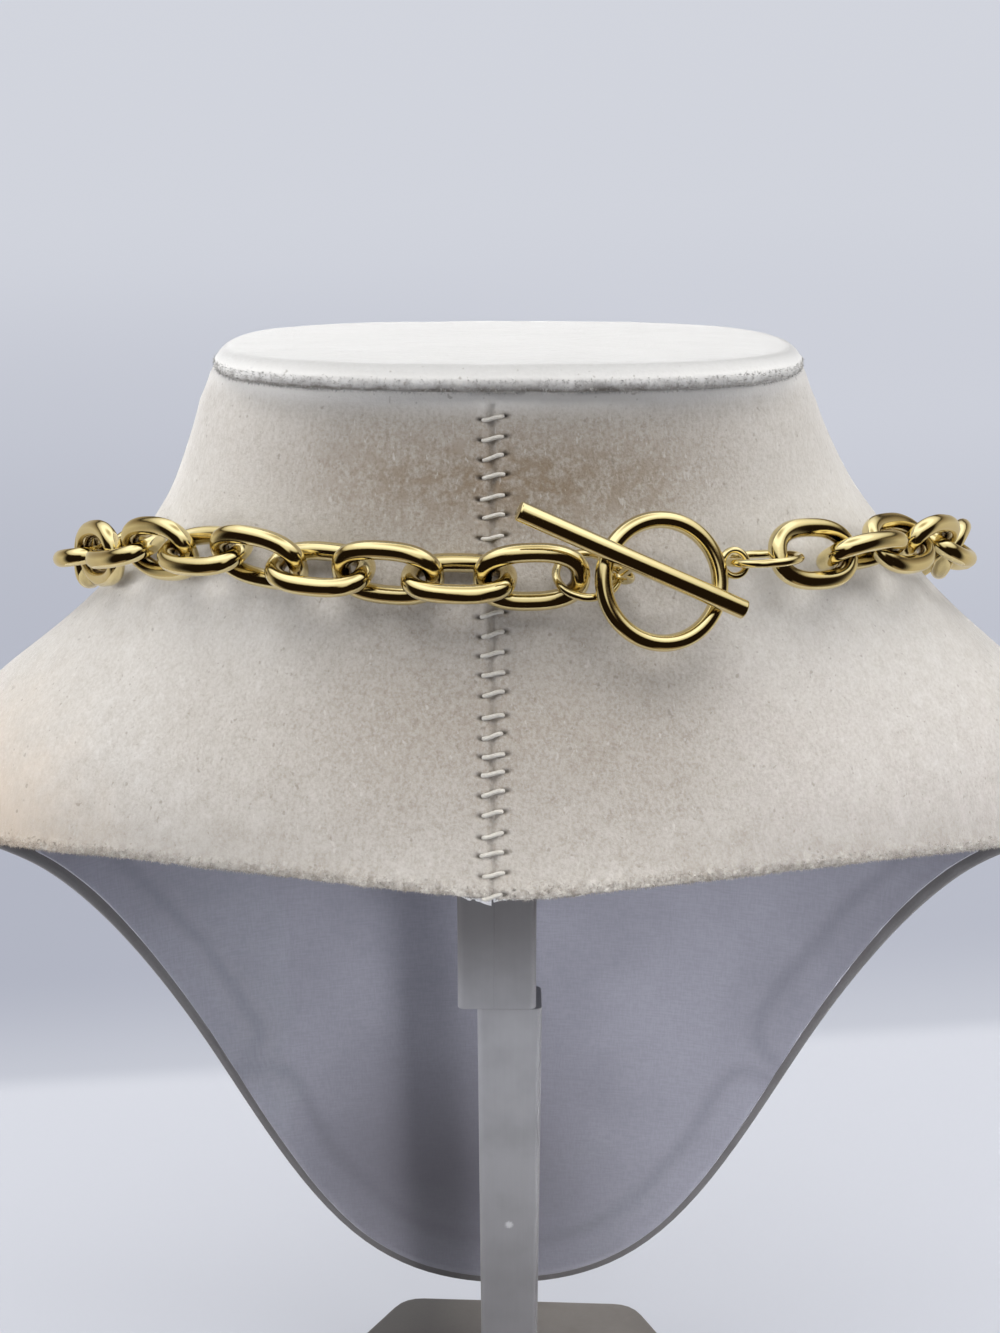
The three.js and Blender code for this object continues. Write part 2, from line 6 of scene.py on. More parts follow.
import bpy
import numpy as np
from mathutils import Matrix, Vector, noise
from mathutils.bvhtree import BVHTree
from mathutils.kdtree import KDTree


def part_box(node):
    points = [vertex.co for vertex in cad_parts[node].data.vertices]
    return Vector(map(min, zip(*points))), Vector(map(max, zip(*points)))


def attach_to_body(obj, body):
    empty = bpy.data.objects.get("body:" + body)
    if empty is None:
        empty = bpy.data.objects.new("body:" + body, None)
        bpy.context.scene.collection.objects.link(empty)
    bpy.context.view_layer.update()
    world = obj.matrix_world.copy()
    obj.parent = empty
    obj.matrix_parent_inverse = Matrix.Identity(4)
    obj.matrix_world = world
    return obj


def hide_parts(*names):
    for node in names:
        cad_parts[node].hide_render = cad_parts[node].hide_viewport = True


bl_info = {
    "name": "Padlock necklace on a neck bust",
    "version": (1, 0, 0),
    "blender": (4, 2, 0),
    "location": "View3D > Sidebar > Necklace",
    "description": "Builds a toggle-clasp chain with a padlock and the velvet bust that wears it",
    "category": "Object",
}

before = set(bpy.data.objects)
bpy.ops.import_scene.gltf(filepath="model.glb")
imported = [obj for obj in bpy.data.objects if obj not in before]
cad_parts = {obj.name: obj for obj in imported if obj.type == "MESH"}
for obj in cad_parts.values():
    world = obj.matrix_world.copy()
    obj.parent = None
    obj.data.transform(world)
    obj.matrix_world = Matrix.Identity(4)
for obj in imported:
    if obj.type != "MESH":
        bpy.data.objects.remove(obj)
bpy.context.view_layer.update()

MM = 0.001
LINK_NODES = sorted(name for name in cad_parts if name.startswith("link_"))


# ---- settings -----------------------------------------------------------------------------


def length(name, description, default):
    return bpy.props.FloatProperty(
        name=name, description=description, default=default, unit="LENGTH", precision=5
    )


def colour(name, description, default):
    return bpy.props.FloatVectorProperty(
        name=name, description=description, default=default, subtype="COLOR", min=0.0, max=1.0
    )


class ChainSettings(bpy.types.PropertyGroup):
    """Sizes and colour of the chain and its clasp."""

    link_length: length("Link length", "Outer length of an oval link", 16.2 * MM)
    link_width: length("Link width", "Outer width of an oval link", 10.5 * MM)
    link_wire: length("Link wire", "Thickness of a link's wire", 2.75 * MM)
    ring_radius: length("Toggle ring", "Middle radius of the toggle ring", 8.5 * MM)
    ring_wire: length("Toggle ring wire", "Thickness of the toggle ring's wire", 2.4 * MM)
    ring_eye: length("Ring eye", "Middle radius of the eye on the toggle ring", 1.8 * MM)
    ring_eye_wire: length("Ring eye wire", "Thickness of that eye's wire", 1.0 * MM)
    bar_wire: length("Toggle bar", "Thickness of the toggle bar", 2.76 * MM)
    bar_eye: length("Bar eye", "Middle radius of the eye behind the toggle bar", 1.9 * MM)
    bar_eye_wire: length("Bar eye wire", "Thickness of that eye's wire", 1.2 * MM)
    bar_stem: length("Bar stem", "Thickness of the stem between bar and eye", 1.56 * MM)
    jump_wire: length("Jump ring wire", "Thickness of the two jump rings", 1.2 * MM)
    gold: colour("Gold", "Colour of the plating", (0.86, 0.735, 0.40))
    gold_worn: colour("Worn gold", "Colour of the plating where it is rubbed", (0.80, 0.66, 0.35))


class PadlockSettings(bpy.types.PropertyGroup):
    """Sizes of the padlock and the ring that it hangs from."""

    hanger_wire: length("Hanger wire", "Thickness of the ring that holds the padlock", 1.5 * MM)
    shackle_wire: length("Shackle wire", "Thickness of the shackle", 2.4 * MM)
    shackle_width: length("Shackle width", "Distance between the middles of its legs", 10.4 * MM)
    shackle_rise: length("Shackle rise", "Straight part of a leg above the body", 4.6 * MM)
    shackle_sink: length("Shackle sink", "Part of a leg inside the body", 3.4 * MM)
    body_width: length("Body width", "Width of the padlock's body", 18 * MM)
    body_height: length("Body height", "Height of the padlock's body", 16 * MM)
    body_depth: length("Body depth", "Thickness of the padlock's body", 5 * MM)
    body_corner: length("Body corner", "Radius of the body's corners", 3 * MM)
    body_edge: length("Body edge", "Width of the rounding round both faces", 0.6 * MM)
    keyhole_radius: length("Keyhole", "Radius of the keyhole's round part", 1.5 * MM)
    keyhole_slot: length("Keyhole slot", "Width of the keyhole's slot", 1.1 * MM)
    keyhole_drop: length("Keyhole drop", "Length of the keyhole's slot", 4.2 * MM)
    keyhole_up: length("Keyhole height", "How far it is above the body's middle", 1.6 * MM)
    keyhole_depth: length("Keyhole depth", "Depth of the keyhole", 1.2 * MM)


class FormSettings(bpy.types.PropertyGroup):
    """The velvet form, its cap, its seam and its lining."""

    velvet: colour("Velvet", "Colour of the velvet", (0.59, 0.565, 0.53))
    velvet_shade: colour("Velvet shade", "Colour between the pile's hairs", (0.33, 0.29, 0.243))
    velvet_stain: colour("Velvet stain", "Colour of the mark at the shoulder", (0.60, 0.49, 0.38))
    cap_velvet: colour("Cap velvet", "Colour of the velvet on the cap", (0.565, 0.56, 0.552))
    cap_edge: length("Cap edge", "Radius of the cap's rounded edge", 2.8 * MM)
    cap_thickness: length("Cap thickness", "Thickness of the cap", 3.6 * MM)
    cap_sag: length("Cap sag", "How far the cap's padding hangs below it", 0.7 * MM)
    seam_place: length("Seam place", "How far the back seam is from the middle", 2.3 * MM)
    seam_reach: length("Seam reach", "From the seam to the needle holes beside it", 1.78 * MM)
    stitch_pitch: length("Stitch pitch", "Distance from one stitch to the next", 2.8 * MM)
    thread: length("Thread", "Thickness of the sewing thread", 0.60 * MM)
    thread_colour: colour("Thread colour", "Colour of the sewing thread", (0.60, 0.575, 0.525))
    lining: colour("Lining", "Colour of the lining cloth", (0.285, 0.285, 0.335))
    lining_fold: length("Lining fold", "Width of the lining's folded margin", 7.2 * MM)
    satin: colour("Satin", "Colour of the white lining corners at the hem", (0.80, 0.80, 0.80))


class StandSettings(bpy.types.PropertyGroup):
    """The post, its socket and the foot."""

    plastic: colour("Plastic", "Colour of the post and the socket", (0.30, 0.30, 0.317))
    foot: colour("Foot", "Colour of the foot", (0.49, 0.44, 0.40))
    edge: length("Edge", "Radius of the edges of the post and the socket", 0.7 * MM)
    foot_edge: length("Foot edge", "Radius of the foot's upper edge", 1.1 * MM)


class StageSettings(bpy.types.PropertyGroup):
    """The camera, the floor and the light."""

    lens: bpy.props.FloatProperty(
        name="Lens", description="Focal length of the camera", default=61.3, unit="CAMERA"
    )
    floor: colour("Floor", "Colour of the floor near the stand", (0.21, 0.215, 0.23))
    room: colour("Room", "Colour of the light from all round", (0.80, 0.84, 0.93))
    dark: colour("Dark room", "What polished metal shows of the far side", (0.008, 0.005, 0.003))


# ---- mesh helpers -------------------------------------------------------------------------


def deselect():
    """Leaves edit mode and deselects every object."""
    if bpy.context.object and bpy.context.object.mode != "OBJECT":
        bpy.ops.object.mode_set(mode="OBJECT")
    bpy.ops.object.select_all(action="DESELECT")


def only(piece):
    """Makes a piece the one selected and active object."""
    deselect()
    piece.select_set(True)
    bpy.context.view_layer.objects.active = piece


def added(name, operator, **values):
    """Adds a primitive with nothing else selected."""
    deselect()
    operator(**values)
    piece = bpy.context.object
    piece.name = piece.data.name = name
    return piece


def placed(name, mesh):
    """A new object in the scene with this mesh or curve."""
    piece = bpy.data.objects.new(name, mesh)
    mesh.name = name
    bpy.context.scene.collection.objects.link(piece)
    only(piece)
    return piece


def edit(piece, kind, test):
    """Opens a piece in edit mode with the edges or faces for which a test holds selected."""
    only(piece)
    bpy.ops.object.mode_set(mode="EDIT")
    bpy.ops.mesh.select_mode(type=kind)
    bpy.ops.mesh.select_all(action="DESELECT")
    done()
    for item in piece.data.edges if kind == "EDGE" else piece.data.polygons:
        item.select = bool(test(item))
    bpy.ops.object.mode_set(mode="EDIT")


def done():
    bpy.ops.object.mode_set(mode="OBJECT")


def whole(piece, operator, **values):
    """Runs an edit-mode operator on all of a piece."""
    only(piece)
    bpy.ops.object.mode_set(mode="EDIT")
    bpy.ops.mesh.select_all(action="SELECT")
    operator(**values)
    done()
    return piece


def modified(piece, kind, **values):
    """Adds a modifier, applies it and returns the piece."""
    only(piece)
    modifier = piece.modifiers.new(kind.title(), kind)
    for key, value in values.items():
        setattr(modifier, key, value)
    bpy.ops.object.modifier_apply(modifier=modifier.name)
    return piece


def joined(piece, other, operation="UNION"):
    modified(piece, "BOOLEAN", operation=operation, object=other, solver="EXACT")
    bpy.data.objects.remove(other)
    return piece


def settled(piece, place=None):
    """Puts a piece's place into its mesh."""
    if place is not None:
        piece.matrix_world = place
    only(piece)
    bpy.ops.object.transform_apply(location=True, rotation=True, scale=True)
    return piece


def smoothed(piece, angle=40):
    only(piece)
    bpy.ops.object.shade_smooth_by_angle(angle=math.radians(angle))
    return piece


def attach(piece, slot, *nodes):
    """Says what a piece rides on and stands for. Its slot, which would say what it is finished
    with, is not used.
    """
    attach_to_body(piece, "root")
    if nodes:
        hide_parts(*nodes)


def points(piece):
    flat = np.empty(len(piece.data.vertices) * 3)
    piece.data.vertices.foreach_get("co", flat)
    return flat.reshape(-1, 3)


def normals(piece):
    flat = np.empty(len(piece.data.vertices) * 3, np.float32)
    piece.data.vertex_normals.foreach_get("vector", flat)
    return flat.reshape(-1, 3).astype(float)


def set_points(piece, places):
    piece.data.vertices.foreach_set("co", np.asarray(places).ravel())
    piece.data.update()


def paint(piece, **layers):
    """Stores named numbers at each vertex for the material to read."""
    for name, values in layers.items():
        layer = piece.data.attributes.new(name, "FLOAT", "POINT")
        layer.data.foreach_set("value", np.zeros(len(piece.data.vertices)) + values)


def cad_copy(name, node):
    """Copy of a CAD node's mesh, with its loose triangles merged."""
    piece = placed(name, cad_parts[node].data.copy())
    if piece.data.has_custom_normals:
        bpy.ops.mesh.customdata_custom_splitnormals_clear()
    for layer in list(piece.data.uv_layers):
        piece.data.uv_layers.remove(layer)
    piece.data.materials.clear()
    return whole(piece, bpy.ops.mesh.remove_doubles, threshold=1e-6)


def quads(piece):
    """Turns the triangles of a CAD mesh back into its four-sided facets."""
    limits = {"face_threshold": math.pi, "shape_threshold": math.pi}
    return whole(piece, bpy.ops.mesh.tris_convert_to_quads, **limits)


def outward_faces(piece):
    return whole(piece, bpy.ops.mesh.normals_make_consistent, inside=False)


def ordered(piece):
    """Puts a piece's points and faces in an order that is the same each time it is built."""
    places = points(piece)
    order = np.lexsort(np.round(places.T, 7))
    rank = np.argsort(order)
    faces = []
    for face in piece.data.polygons:
        ring = [int(rank[i]) for i in face.vertices]
        first = ring.index(min(ring))
        faces.append(ring[first:] + ring[:first])
    piece.data.clear_geometry()
    piece.data.from_pydata(places[order].tolist(), [], sorted(faces))
    return piece


def finish_all(piece, *materials):
    piece.data.materials.clear()
    for material in materials:
        piece.data.materials.append(material)


def hills(places, size, seed=0.0, octaves=2):
    """Smooth noise between about -1 and 1 at each place, for bumps of the given size."""
    shift = Vector((seed, seed * 0.7, seed * 1.3))
    return np.array([noise.fractal(Vector(p) / size + shift, 1.0, 2.0, octaves) for p in places])


def bell(distance, width):
    """1 at a distance of 0, falling smoothly to almost nothing at twice the width."""
    return np.exp(-((distance / width) ** 2))


def ramp(values, start, reach):
    """0 before the start, rising evenly to 1 over the reach."""
    return np.clip((values - start) / reach, 0, 1)


def eased(ramp):
    """The same ramp with a soft start and end."""
    return ramp * ramp * (3 - 2 * ramp)


def tree_of(spots):
    tree = KDTree(len(spots))
    for index, spot in enumerate(spots):
        tree.insert(spot, index)
    tree.balance()
    return tree


def distances(places, targets):
    """Distance from each place to the nearest target."""
    tree = tree_of(targets)
    return np.array([tree.find(place)[2] for place in places])


# ---- where the CAD nodes lie --------------------------------------------------------------


def corners(node):
    """The corner points of a CAD node, each once."""
    return np.unique(np.round(points(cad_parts[node]), 6), axis=0)


def axes_of(places):
    """Longest, middle and thinnest direction of a cloud of points, as a right-handed set."""
    axes = np.linalg.svd(places - places.mean(axis=0), full_matrices=False)[2]
    axes[2] = np.cross(axes[0], axes[1])
    return axes


def placement(axes, centre):
    matrix = Matrix(np.asarray(axes).T.tolist()).to_4x4()
    matrix.translation = Vector(centre)
    return matrix


def lie(node):
    """Frame of a flat node: x its long way and z out of its plane."""
    places = corners(node)
    axes = axes_of(places)
    spread = places @ axes.T
    return placement(axes, (spread.max(axis=0) + spread.min(axis=0)) / 2 @ axes)


def hoop_radius(node, wire):
    places = corners(node)
    return np.linalg.norm(places - places.mean(axis=0), axis=1).max() - wire / 2


# ---- materials ----------------------------------------------------------------------------


class Level:
    """An output in a tree of nodes; arithmetic on it adds Math nodes."""

    def __init__(self, nodes, socket):
        self.nodes = nodes
        self.socket = socket

    def math(self, operation, *terms):
        sockets = dict(enumerate(terms))
        return self.nodes.node("ShaderNodeMath", {"operation": operation}, sockets)

    def __add__(self, other):
        return self.math("ADD", self, other)

    def __sub__(self, other):
        return self.math("SUBTRACT", self, other)

    def __rsub__(self, other):
        return self.math("SUBTRACT", other, self)

    def __mul__(self, other):
        return self.math("MULTIPLY", self, other)

    def __truediv__(self, other):
        return self.math("DIVIDE", self, other)

    __radd__ = __add__
    __rmul__ = __mul__

    def step(self, low, high):
        """0 below low, 1 above high and smooth between them."""
        settings = {"interpolation_type": "SMOOTHSTEP"}
        return self.nodes.node("ShaderNodeMapRange", settings, {0: self, 1: low, 2: high})


def label(key):
    """A socket's name in Blender, from a keyword."""
    return key.replace("_", " ").title().replace("Ior", "IOR")


class Nodes:
    """The nodes of a material or of the world while they are being joined up."""

    def __init__(self, tree):
        self.tree = tree

    def node(self, kind, settings=None, sockets=None, output=0):
        node = self.tree.nodes.new(kind)
        for key, value in (settings or {}).items():
            if key == "stops":
                for _ in range(len(value) - 2):
                    node.color_ramp.elements.new(0.5)
                for element, (place, tone) in zip(node.color_ramp.elements, value):
                    element.position = place
                    element.color = (*tone, 1.0)
            else:
                setattr(node, key, value)
        for place, value in (sockets or {}).items():
            self.feed(node.inputs[place], value)
        return Level(self, node.outputs[output])

    def feed(self, socket, value):
        if isinstance(value, Level):
            self.tree.links.new(value.socket, socket)
        elif isinstance(value, (int, float)) or len(value) == len(socket.default_value):
            socket.default_value = value
        else:
            socket.default_value = (*value, 1.0)

    def place(self):
        """Object coordinates."""
        return self.node("ShaderNodeTexCoord", output=3)

    def axis(self, vector, index):
        """One of a vector's x, y and z, by its number."""
        return self.node("ShaderNodeSeparateXYZ", None, {0: vector}, output=index)

    def along(self, vector, scale, turn=(0, 0, 0)):
        return self.node("ShaderNodeMapping", None, {0: vector, 2: turn, 3: scale})

    def noise(self, vector, size, detail=2.0, roughness=0.55):
        """Noise between 0 and 1 with spots of about the given size."""
        sockets = {"Vector": vector, "Scale": 1 / size, "Detail": detail, "Roughness": roughness}
        return self.node("ShaderNodeTexNoise", None, sockets)

    def painted(self, name):
        return self.node("ShaderNodeAttribute", {"attribute_name": name}, output=2)

    def mix(self, factor, first, second):
        sockets = {0: factor, 6: first, 7: second}
        return self.node("ShaderNodeMix", {"data_type": "RGBA"}, sockets, output=2)

    def from_point(self, vector, centre):
        """Distance from a point."""
        settings = {"operation": "DISTANCE"}
        return self.node("ShaderNodeVectorMath", settings, {0: vector, 1: centre}, output=1)

    def bump(self, height, distance, strength=1.0, normal=None):
        sockets = {"Strength": strength, "Distance": distance, "Height": height}
        if normal is not None:
            sockets["Normal"] = normal
        return self.node("ShaderNodeBump", None, sockets)


class Finish(Nodes):
    """A material while its nodes are being joined up."""

    def __init__(self, name, **constants):
        self.material = bpy.data.materials.new(name)
        self.material.use_nodes = True
        super().__init__(self.material.node_tree)
        self.shader = self.tree.nodes["Principled BSDF"]
        self.set(**constants)

    def set(self, **inputs):
        """Gives the shader's inputs their values or links, and returns the material."""
        for key, value in inputs.items():
            self.feed(self.shader.inputs[label(key)], value)
        return self.material


def gold_finish(settings):
    """Polished plating: hairline scratches, soft waviness and slightly rubbed high places."""
    gold = Finish("polished_gold_tone", metallic=1.0)
    place = gold.place()
    wave = gold.noise(place, 3.2 * MM, 1.0)
    rub = gold.noise(place, 5.0 * MM, 3.0).step(0.48, 0.72)
    hairs = gold.noise(gold.along(place, (1.0, 9.0, 9.0), (0.4, 0.3, 0.5)), 0.9 * MM, 3.0, 0.7)
    specks = gold.noise(place, 0.22 * MM, 2.0).step(0.66, 0.78)
    base = gold.mix(rub * 0.55, settings.gold, settings.gold_worn)
    # Painted shade: the links' inner sides, most at their ends, turn dark brown.
    base = gold.mix(0.9 * gold.painted("tarnish"), base, (0.10, 0.055, 0.02))
    rough = 0.075 + 0.05 * rub + 0.06 * hairs.step(0.5, 0.8) + 0.08 * specks
    bumps = gold.bump(hairs, 0.006 * MM, 0.5, gold.bump(wave, 0.05 * MM, 0.35))
    return gold.set(Base_Color=base, Roughness=rough, Normal=bumps)


def keyhole_shade_finish():
    """Dull metal inside the keyhole, dark with painted shade that stands in for the keyhole's
    depth.
    """
    dull = Finish("keyhole_painted_shade", metallic=1.0, roughness=0.55)
    grain = dull.noise(dull.place(), 0.4 * MM, 2.0)
    return dull.set(Base_Color=dull.mix(grain, (0.045, 0.03, 0.018), (0.09, 0.065, 0.04)))


def velvet_finish(name, tone, shade, stain=None):
    """Short-pile velvet: speckled hairs, brushed patches and faint clouds, painted shade in the
    sewn places, at the hem, under the cap's edge and down the neck's back, and painted
    highlights.
    """
    velvet = Finish(
        name,
        roughness=0.95,
        sheen_weight=0.75,
        sheen_roughness=0.32,
        sheen_tint=(1.0, 0.985, 0.965),
        specular_ior_level=0.1,
    )
    place = velvet.place()
    hairs = velvet.noise(place, 0.46 * MM, 3.0, 0.72)
    streaks = velvet.noise(velvet.along(place, (1.5, 1.5, 0.7)), 1.0 * MM, 3.0, 0.65)
    patches = velvet.noise(place, 5.5 * MM, 4.0, 0.6)
    clouds = velvet.noise(place, 34 * MM, 2.0)
    pile = 0.6 * hairs + 0.4 * streaks
    brushed = velvet.noise(place, 2.6 * MM, 4.0, 0.72)
    busy = velvet.painted("busy")
    depth = 0.46 + busy * (0.5 * (0.5 - pile.step(0.28, 0.66)) + 1.15 * (brushed - 0.5))
    depth = depth + 0.25 * (patches - 0.5) + 0.35 * (clouds - 0.5)
    base = velvet.mix(depth, tone, shade)
    if stain is not None:
        near = velvet.from_point(place, (88 * MM, 20 * MM, 116 * MM))
        ragged = near + 18 * MM * (patches - 0.5)
        base = velvet.mix(0.9 * (1 - ragged.step(4 * MM, 48 * MM)), base, stain)
    # Painted shade down the middle of the neck's back, darkest just under the cap.
    nap = velvet.painted("nap")
    neck_shade_mask = nap * (0.7 + 0.9 * (1 - brushed.step(0.40, 0.62)))
    base = velvet.mix(neck_shade_mask, base, (0.205, 0.145, 0.085))
    # Painted highlight: a band just under the cap, the neck's sides and the cap's rounded edge.
    base = velvet.mix(velvet.painted("pale") * 0.85, base, (0.80, 0.78, 0.745))
    dust = velvet.noise(place, 1.0 * MM, 1.0).step(0.70, 0.78)
    base = velvet.mix(dust * 0.45, base, (0.22, 0.19, 0.155))
    wisps = velvet.noise(velvet.along(place, (2.2, 2.2, 0.8), (0.3, 0.5, 0.2)), 1.6 * MM, 2.0)
    base = velvet.mix(wisps.step(0.66, 0.74) * 0.5, base, tone)
    tufts = velvet.noise(place, 1.15 * MM, 3.0, 0.7)
    hem = velvet.painted("hem")
    base = velvet.mix(hem * tufts.step(0.48, 0.66) * 0.55, base, (0.19, 0.165, 0.14))
    base = velvet.mix(hem * (1 - tufts.step(0.34, 0.48)) * 0.6, base, (0.76, 0.73, 0.67))
    # Painted shade in the seam's groove and needle holes, along the hem and under the cap's edge;
    # on loose hairs, some darker hairs at random.
    worked = velvet.painted("worked")
    base = velvet.mix(worked * (0.45 + 0.8 * hairs), base, (0.125, 0.108, 0.09))
    bumps = velvet.bump(pile, 0.18 * MM, 0.9, velvet.bump(patches, 0.5 * MM, 0.35))
    return velvet.set(Base_Color=base, Normal=bumps)


def thread_finish(settings):
    """Loosely twisted cotton thread."""
    thread = Finish("sewing_thread", roughness=0.8, sheen_weight=0.2)
    place = thread.place()
    plies = thread.noise(thread.along(place, (1.0, 1.0, 4.0), (0.0, 0.6, 0.0)), 0.5 * MM, 2.0)
    base = thread.mix(plies.step(0.35, 0.65), (0.50, 0.465, 0.41), settings.thread_colour)
    return thread.set(Base_Color=base, Normal=thread.bump(plies, 0.08 * MM, 0.8))


def lining_finish(settings):
    """Smooth lining cloth on card, with a fine weave, soft dents and a darker turned edge."""
    cloth = Finish("lining_cloth", sheen_weight=0.15, specular_ior_level=0.35)
    place = cloth.place()
    warp = cloth.noise(cloth.along(place, (3.0, 3.0, 0.35)), 0.8 * MM, 2.0)
    weft = cloth.noise(cloth.along(place, (0.35, 0.35, 3.0)), 0.8 * MM, 2.0)
    weave = 0.5 * warp + 0.5 * weft
    clouds = cloth.noise(place, 26 * MM, 3.0)
    dents = cloth.noise(cloth.along(place, (1.0, 1.0, 0.6)), 9 * MM, 3.0)
    margin = cloth.painted("margin")
    base = cloth.mix(0.7 * (1 - clouds.step(0.30, 0.70)), settings.lining, (0.22, 0.22, 0.262))
    base = cloth.mix(0.25 * (1 - weave.step(0.35, 0.65)), base, (0.13, 0.13, 0.16))
    base = cloth.mix(margin * 0.6, base, (0.115, 0.115, 0.14))
    # Painted shade of the post, low in the middle of the lining.
    base = cloth.mix(cloth.painted("dim") * 0.85, base, (0.095, 0.09, 0.105))
    # Painted highlight along the lining's very edge.
    base = cloth.mix(cloth.painted("lip"), base, (0.40, 0.40, 0.45))
    bumps = cloth.bump(weave, 0.03 * MM, 0.5, cloth.bump(dents, 0.6 * MM, 0.35))
    return cloth.set(Base_Color=base, Roughness=0.5 + 0.18 * clouds, Normal=bumps)


def rim_shade_finish():
    """Painted shade along the edge of the chest panel: dark grey with a faint grain and patches.
    """
    rim_shade = Finish("painted_rim_shade", roughness=0.8, sheen_weight=0.1)
    place = rim_shade.place()
    grain = rim_shade.noise(place, 0.5 * MM, 3.0)
    patches = rim_shade.noise(place, 6 * MM, 2.0)
    base = rim_shade.mix(0.5 * grain + 0.5 * patches, (0.17, 0.165, 0.17), (0.105, 0.10, 0.10))
    return rim_shade.set(Base_Color=base, Normal=rim_shade.bump(grain, 0.06 * MM, 0.5))


def satin_finish(settings):
    """White satin with a faint fold grain."""
    satin = Finish("white_satin", sheen_weight=0.3)
    place = satin.place()
    grain = satin.noise(satin.along(place, (1.0, 1.0, 5.0)), 1.2 * MM, 3.0)
    base = satin.mix(grain.step(0.3, 0.7), settings.satin, (0.66, 0.66, 0.68))
    bumps = satin.bump(grain, 0.1 * MM, 0.4)
    return satin.set(Base_Color=base, Roughness=0.38 + 0.2 * grain, Normal=bumps)


def plastic_finish(name, tone, dull, scuffs):
    """Satin moulded plastic: faint upright draw marks, dull patches and small pale scuffs.

    Painted shade makes it darker low on the post, up by the hem and on one side of the foot.
    """
    plastic = Finish(name, specular_ior_level=0.45)
    place = plastic.place()
    drawn = plastic.noise(plastic.along(place, (2.2, 2.2, 0.16)), 1.6 * MM, 3.0)
    patches = plastic.noise(place, 12 * MM, 3.0)
    grain = plastic.noise(place, 0.3 * MM, 2.0)
    base = plastic.mix(0.5 * patches.step(0.35, 0.7) + 0.25 * drawn, tone, dull)
    aside, height = plastic.axis(place, 0), plastic.axis(place, 2)
    # Painted shade: low on the post, up under the hem and on one side of the foot.
    dim = 0.62 * (1 - height.step(0.03, 0.10)) + 0.80 * height.step(0.085, 0.112)
    dim = dim + 0.43 * aside.step(-0.004, 0.02) * (1 - height.step(0.006, 0.012))
    base = plastic.mix(dim, base, (0.085, 0.08, 0.08))
    for centre, reach in scuffs:
        ragged = plastic.from_point(place, centre) + 0.6 * MM * (grain - 0.5)
        base = plastic.mix(0.45 * (1 - ragged.step(0.3 * reach, reach)), base, (0.60, 0.60, 0.61))
    rough = 0.34 + 0.16 * patches + 0.10 * drawn
    bumps = plastic.bump(grain, 0.02 * MM, 0.4, plastic.bump(drawn, 0.05 * MM, 0.35))
    return plastic.set(Base_Color=base, Roughness=rough, Normal=bumps)


FINISHES = {}
HOLES = []


def finish(kind):
    """The material of that kind, made when it is first asked for."""
    scene = bpy.context.scene
    form, chain, stand = scene.necklace_form, scene.necklace_chain, scene.necklace_stand
    makers = {
        "gold": lambda: gold_finish(chain),
        "velvet": lambda: velvet_finish(
            "cream_velvet", form.velvet, form.velvet_shade, form.velvet_stain
        ),
        "cap": lambda: velvet_finish("cap_velvet", form.cap_velvet, (0.43, 0.42, 0.40)),
        # The keyhole's dark inside is painted shade.
        "keyhole": keyhole_shade_finish,
        "thread": lambda: thread_finish(form),
        "lining": lambda: lining_finish(form),
        "satin": lambda: satin_finish(form),
        # The chest panel's dark rim is painted shade.
        "rim_shade": rim_shade_finish,
        "plastic": lambda: plastic_finish(
            "satin_grey_plastic",
            stand.plastic,
            (0.20, 0.20, 0.212),
            [((-0.3 * MM, 4.5 * MM, 52 * MM), 0.9 * MM)],
        ),
        "foot": lambda: plastic_finish(
            "grey_beige_plastic",
            stand.foot,
            (0.30, 0.27, 0.24),
            [((14 * MM, -26 * MM, 6 * MM), 0.8 * MM)],
        ),
    }
    if kind not in FINISHES:
        FINISHES[kind] = makers[kind]()
    return FINISHES[kind]


# ---- chain, clasp and padlock -------------------------------------------------------------


def hoop(name, radius, wire, steps=64, sides=18):
    return added(
        name,
        bpy.ops.mesh.primitive_torus_add,
        major_radius=radius,
        minor_radius=wire / 2,
        major_segments=steps,
        minor_segments=sides,
    )


def rod(name, start, end, diameter, sides=24):
    axis = end - start
    piece = added(
        name,
        bpy.ops.mesh.primitive_cylinder_add,
        radius=diameter / 2,
        depth=axis.length,
        vertices=sides,
    )
    turn = Vector((0, 0, 1)).rotation_difference(axis).to_matrix().to_4x4()
    return settled(piece, Matrix.Translation((start + end) / 2) @ turn)


def superellipse(angle, half, power):
    """Points of a rounded oblong: a power of 2 is an ellipse, more is squarer."""
    both = np.stack([np.cos(angle), np.sin(angle)], axis=1)
    return np.array(half) * np.sign(both) * np.abs(both) ** (2 / power)


def oval_link(settings):
    """One link: a hoop drawn out to a rounded oval, with painted shade on the inner sides at its
    ends.
    """
    reach = settings.link_length
    half = np.array([reach, settings.link_width]) / 2 - settings.link_wire / 2
    piece = hoop("oval_link", reach, settings.link_wire, 60, 16)
    places = points(piece)
    turn = np.arctan2(places[:, 1], places[:, 0])
    outward = np.hypot(places[:, 0], places[:, 1]) - reach
    nearby = 0.01
    ahead = superellipse(turn + nearby, half, 2.5) - superellipse(turn - nearby, half, 2.5)
    ahead /= np.linalg.norm(ahead, axis=1)[:, None]
    aside = np.stack([ahead[:, 1], -ahead[:, 0]], axis=1)
    places[:, 0:2] = superellipse(turn, half, 2.5) + outward[:, None] * aside
    set_points(piece, places)
    # Painted shade on the inner side of the wire, strongest at the link's ends.
    at_ends = np.clip(2 * np.abs(np.cos(turn)) - 0.6, 0.25, 1)
    inner = np.clip(-3 * outward / settings.link_wire - 0.3, 0, 1)
    paint(piece, tarnish=inner * at_ends)
    return smoothed(piece, 60)


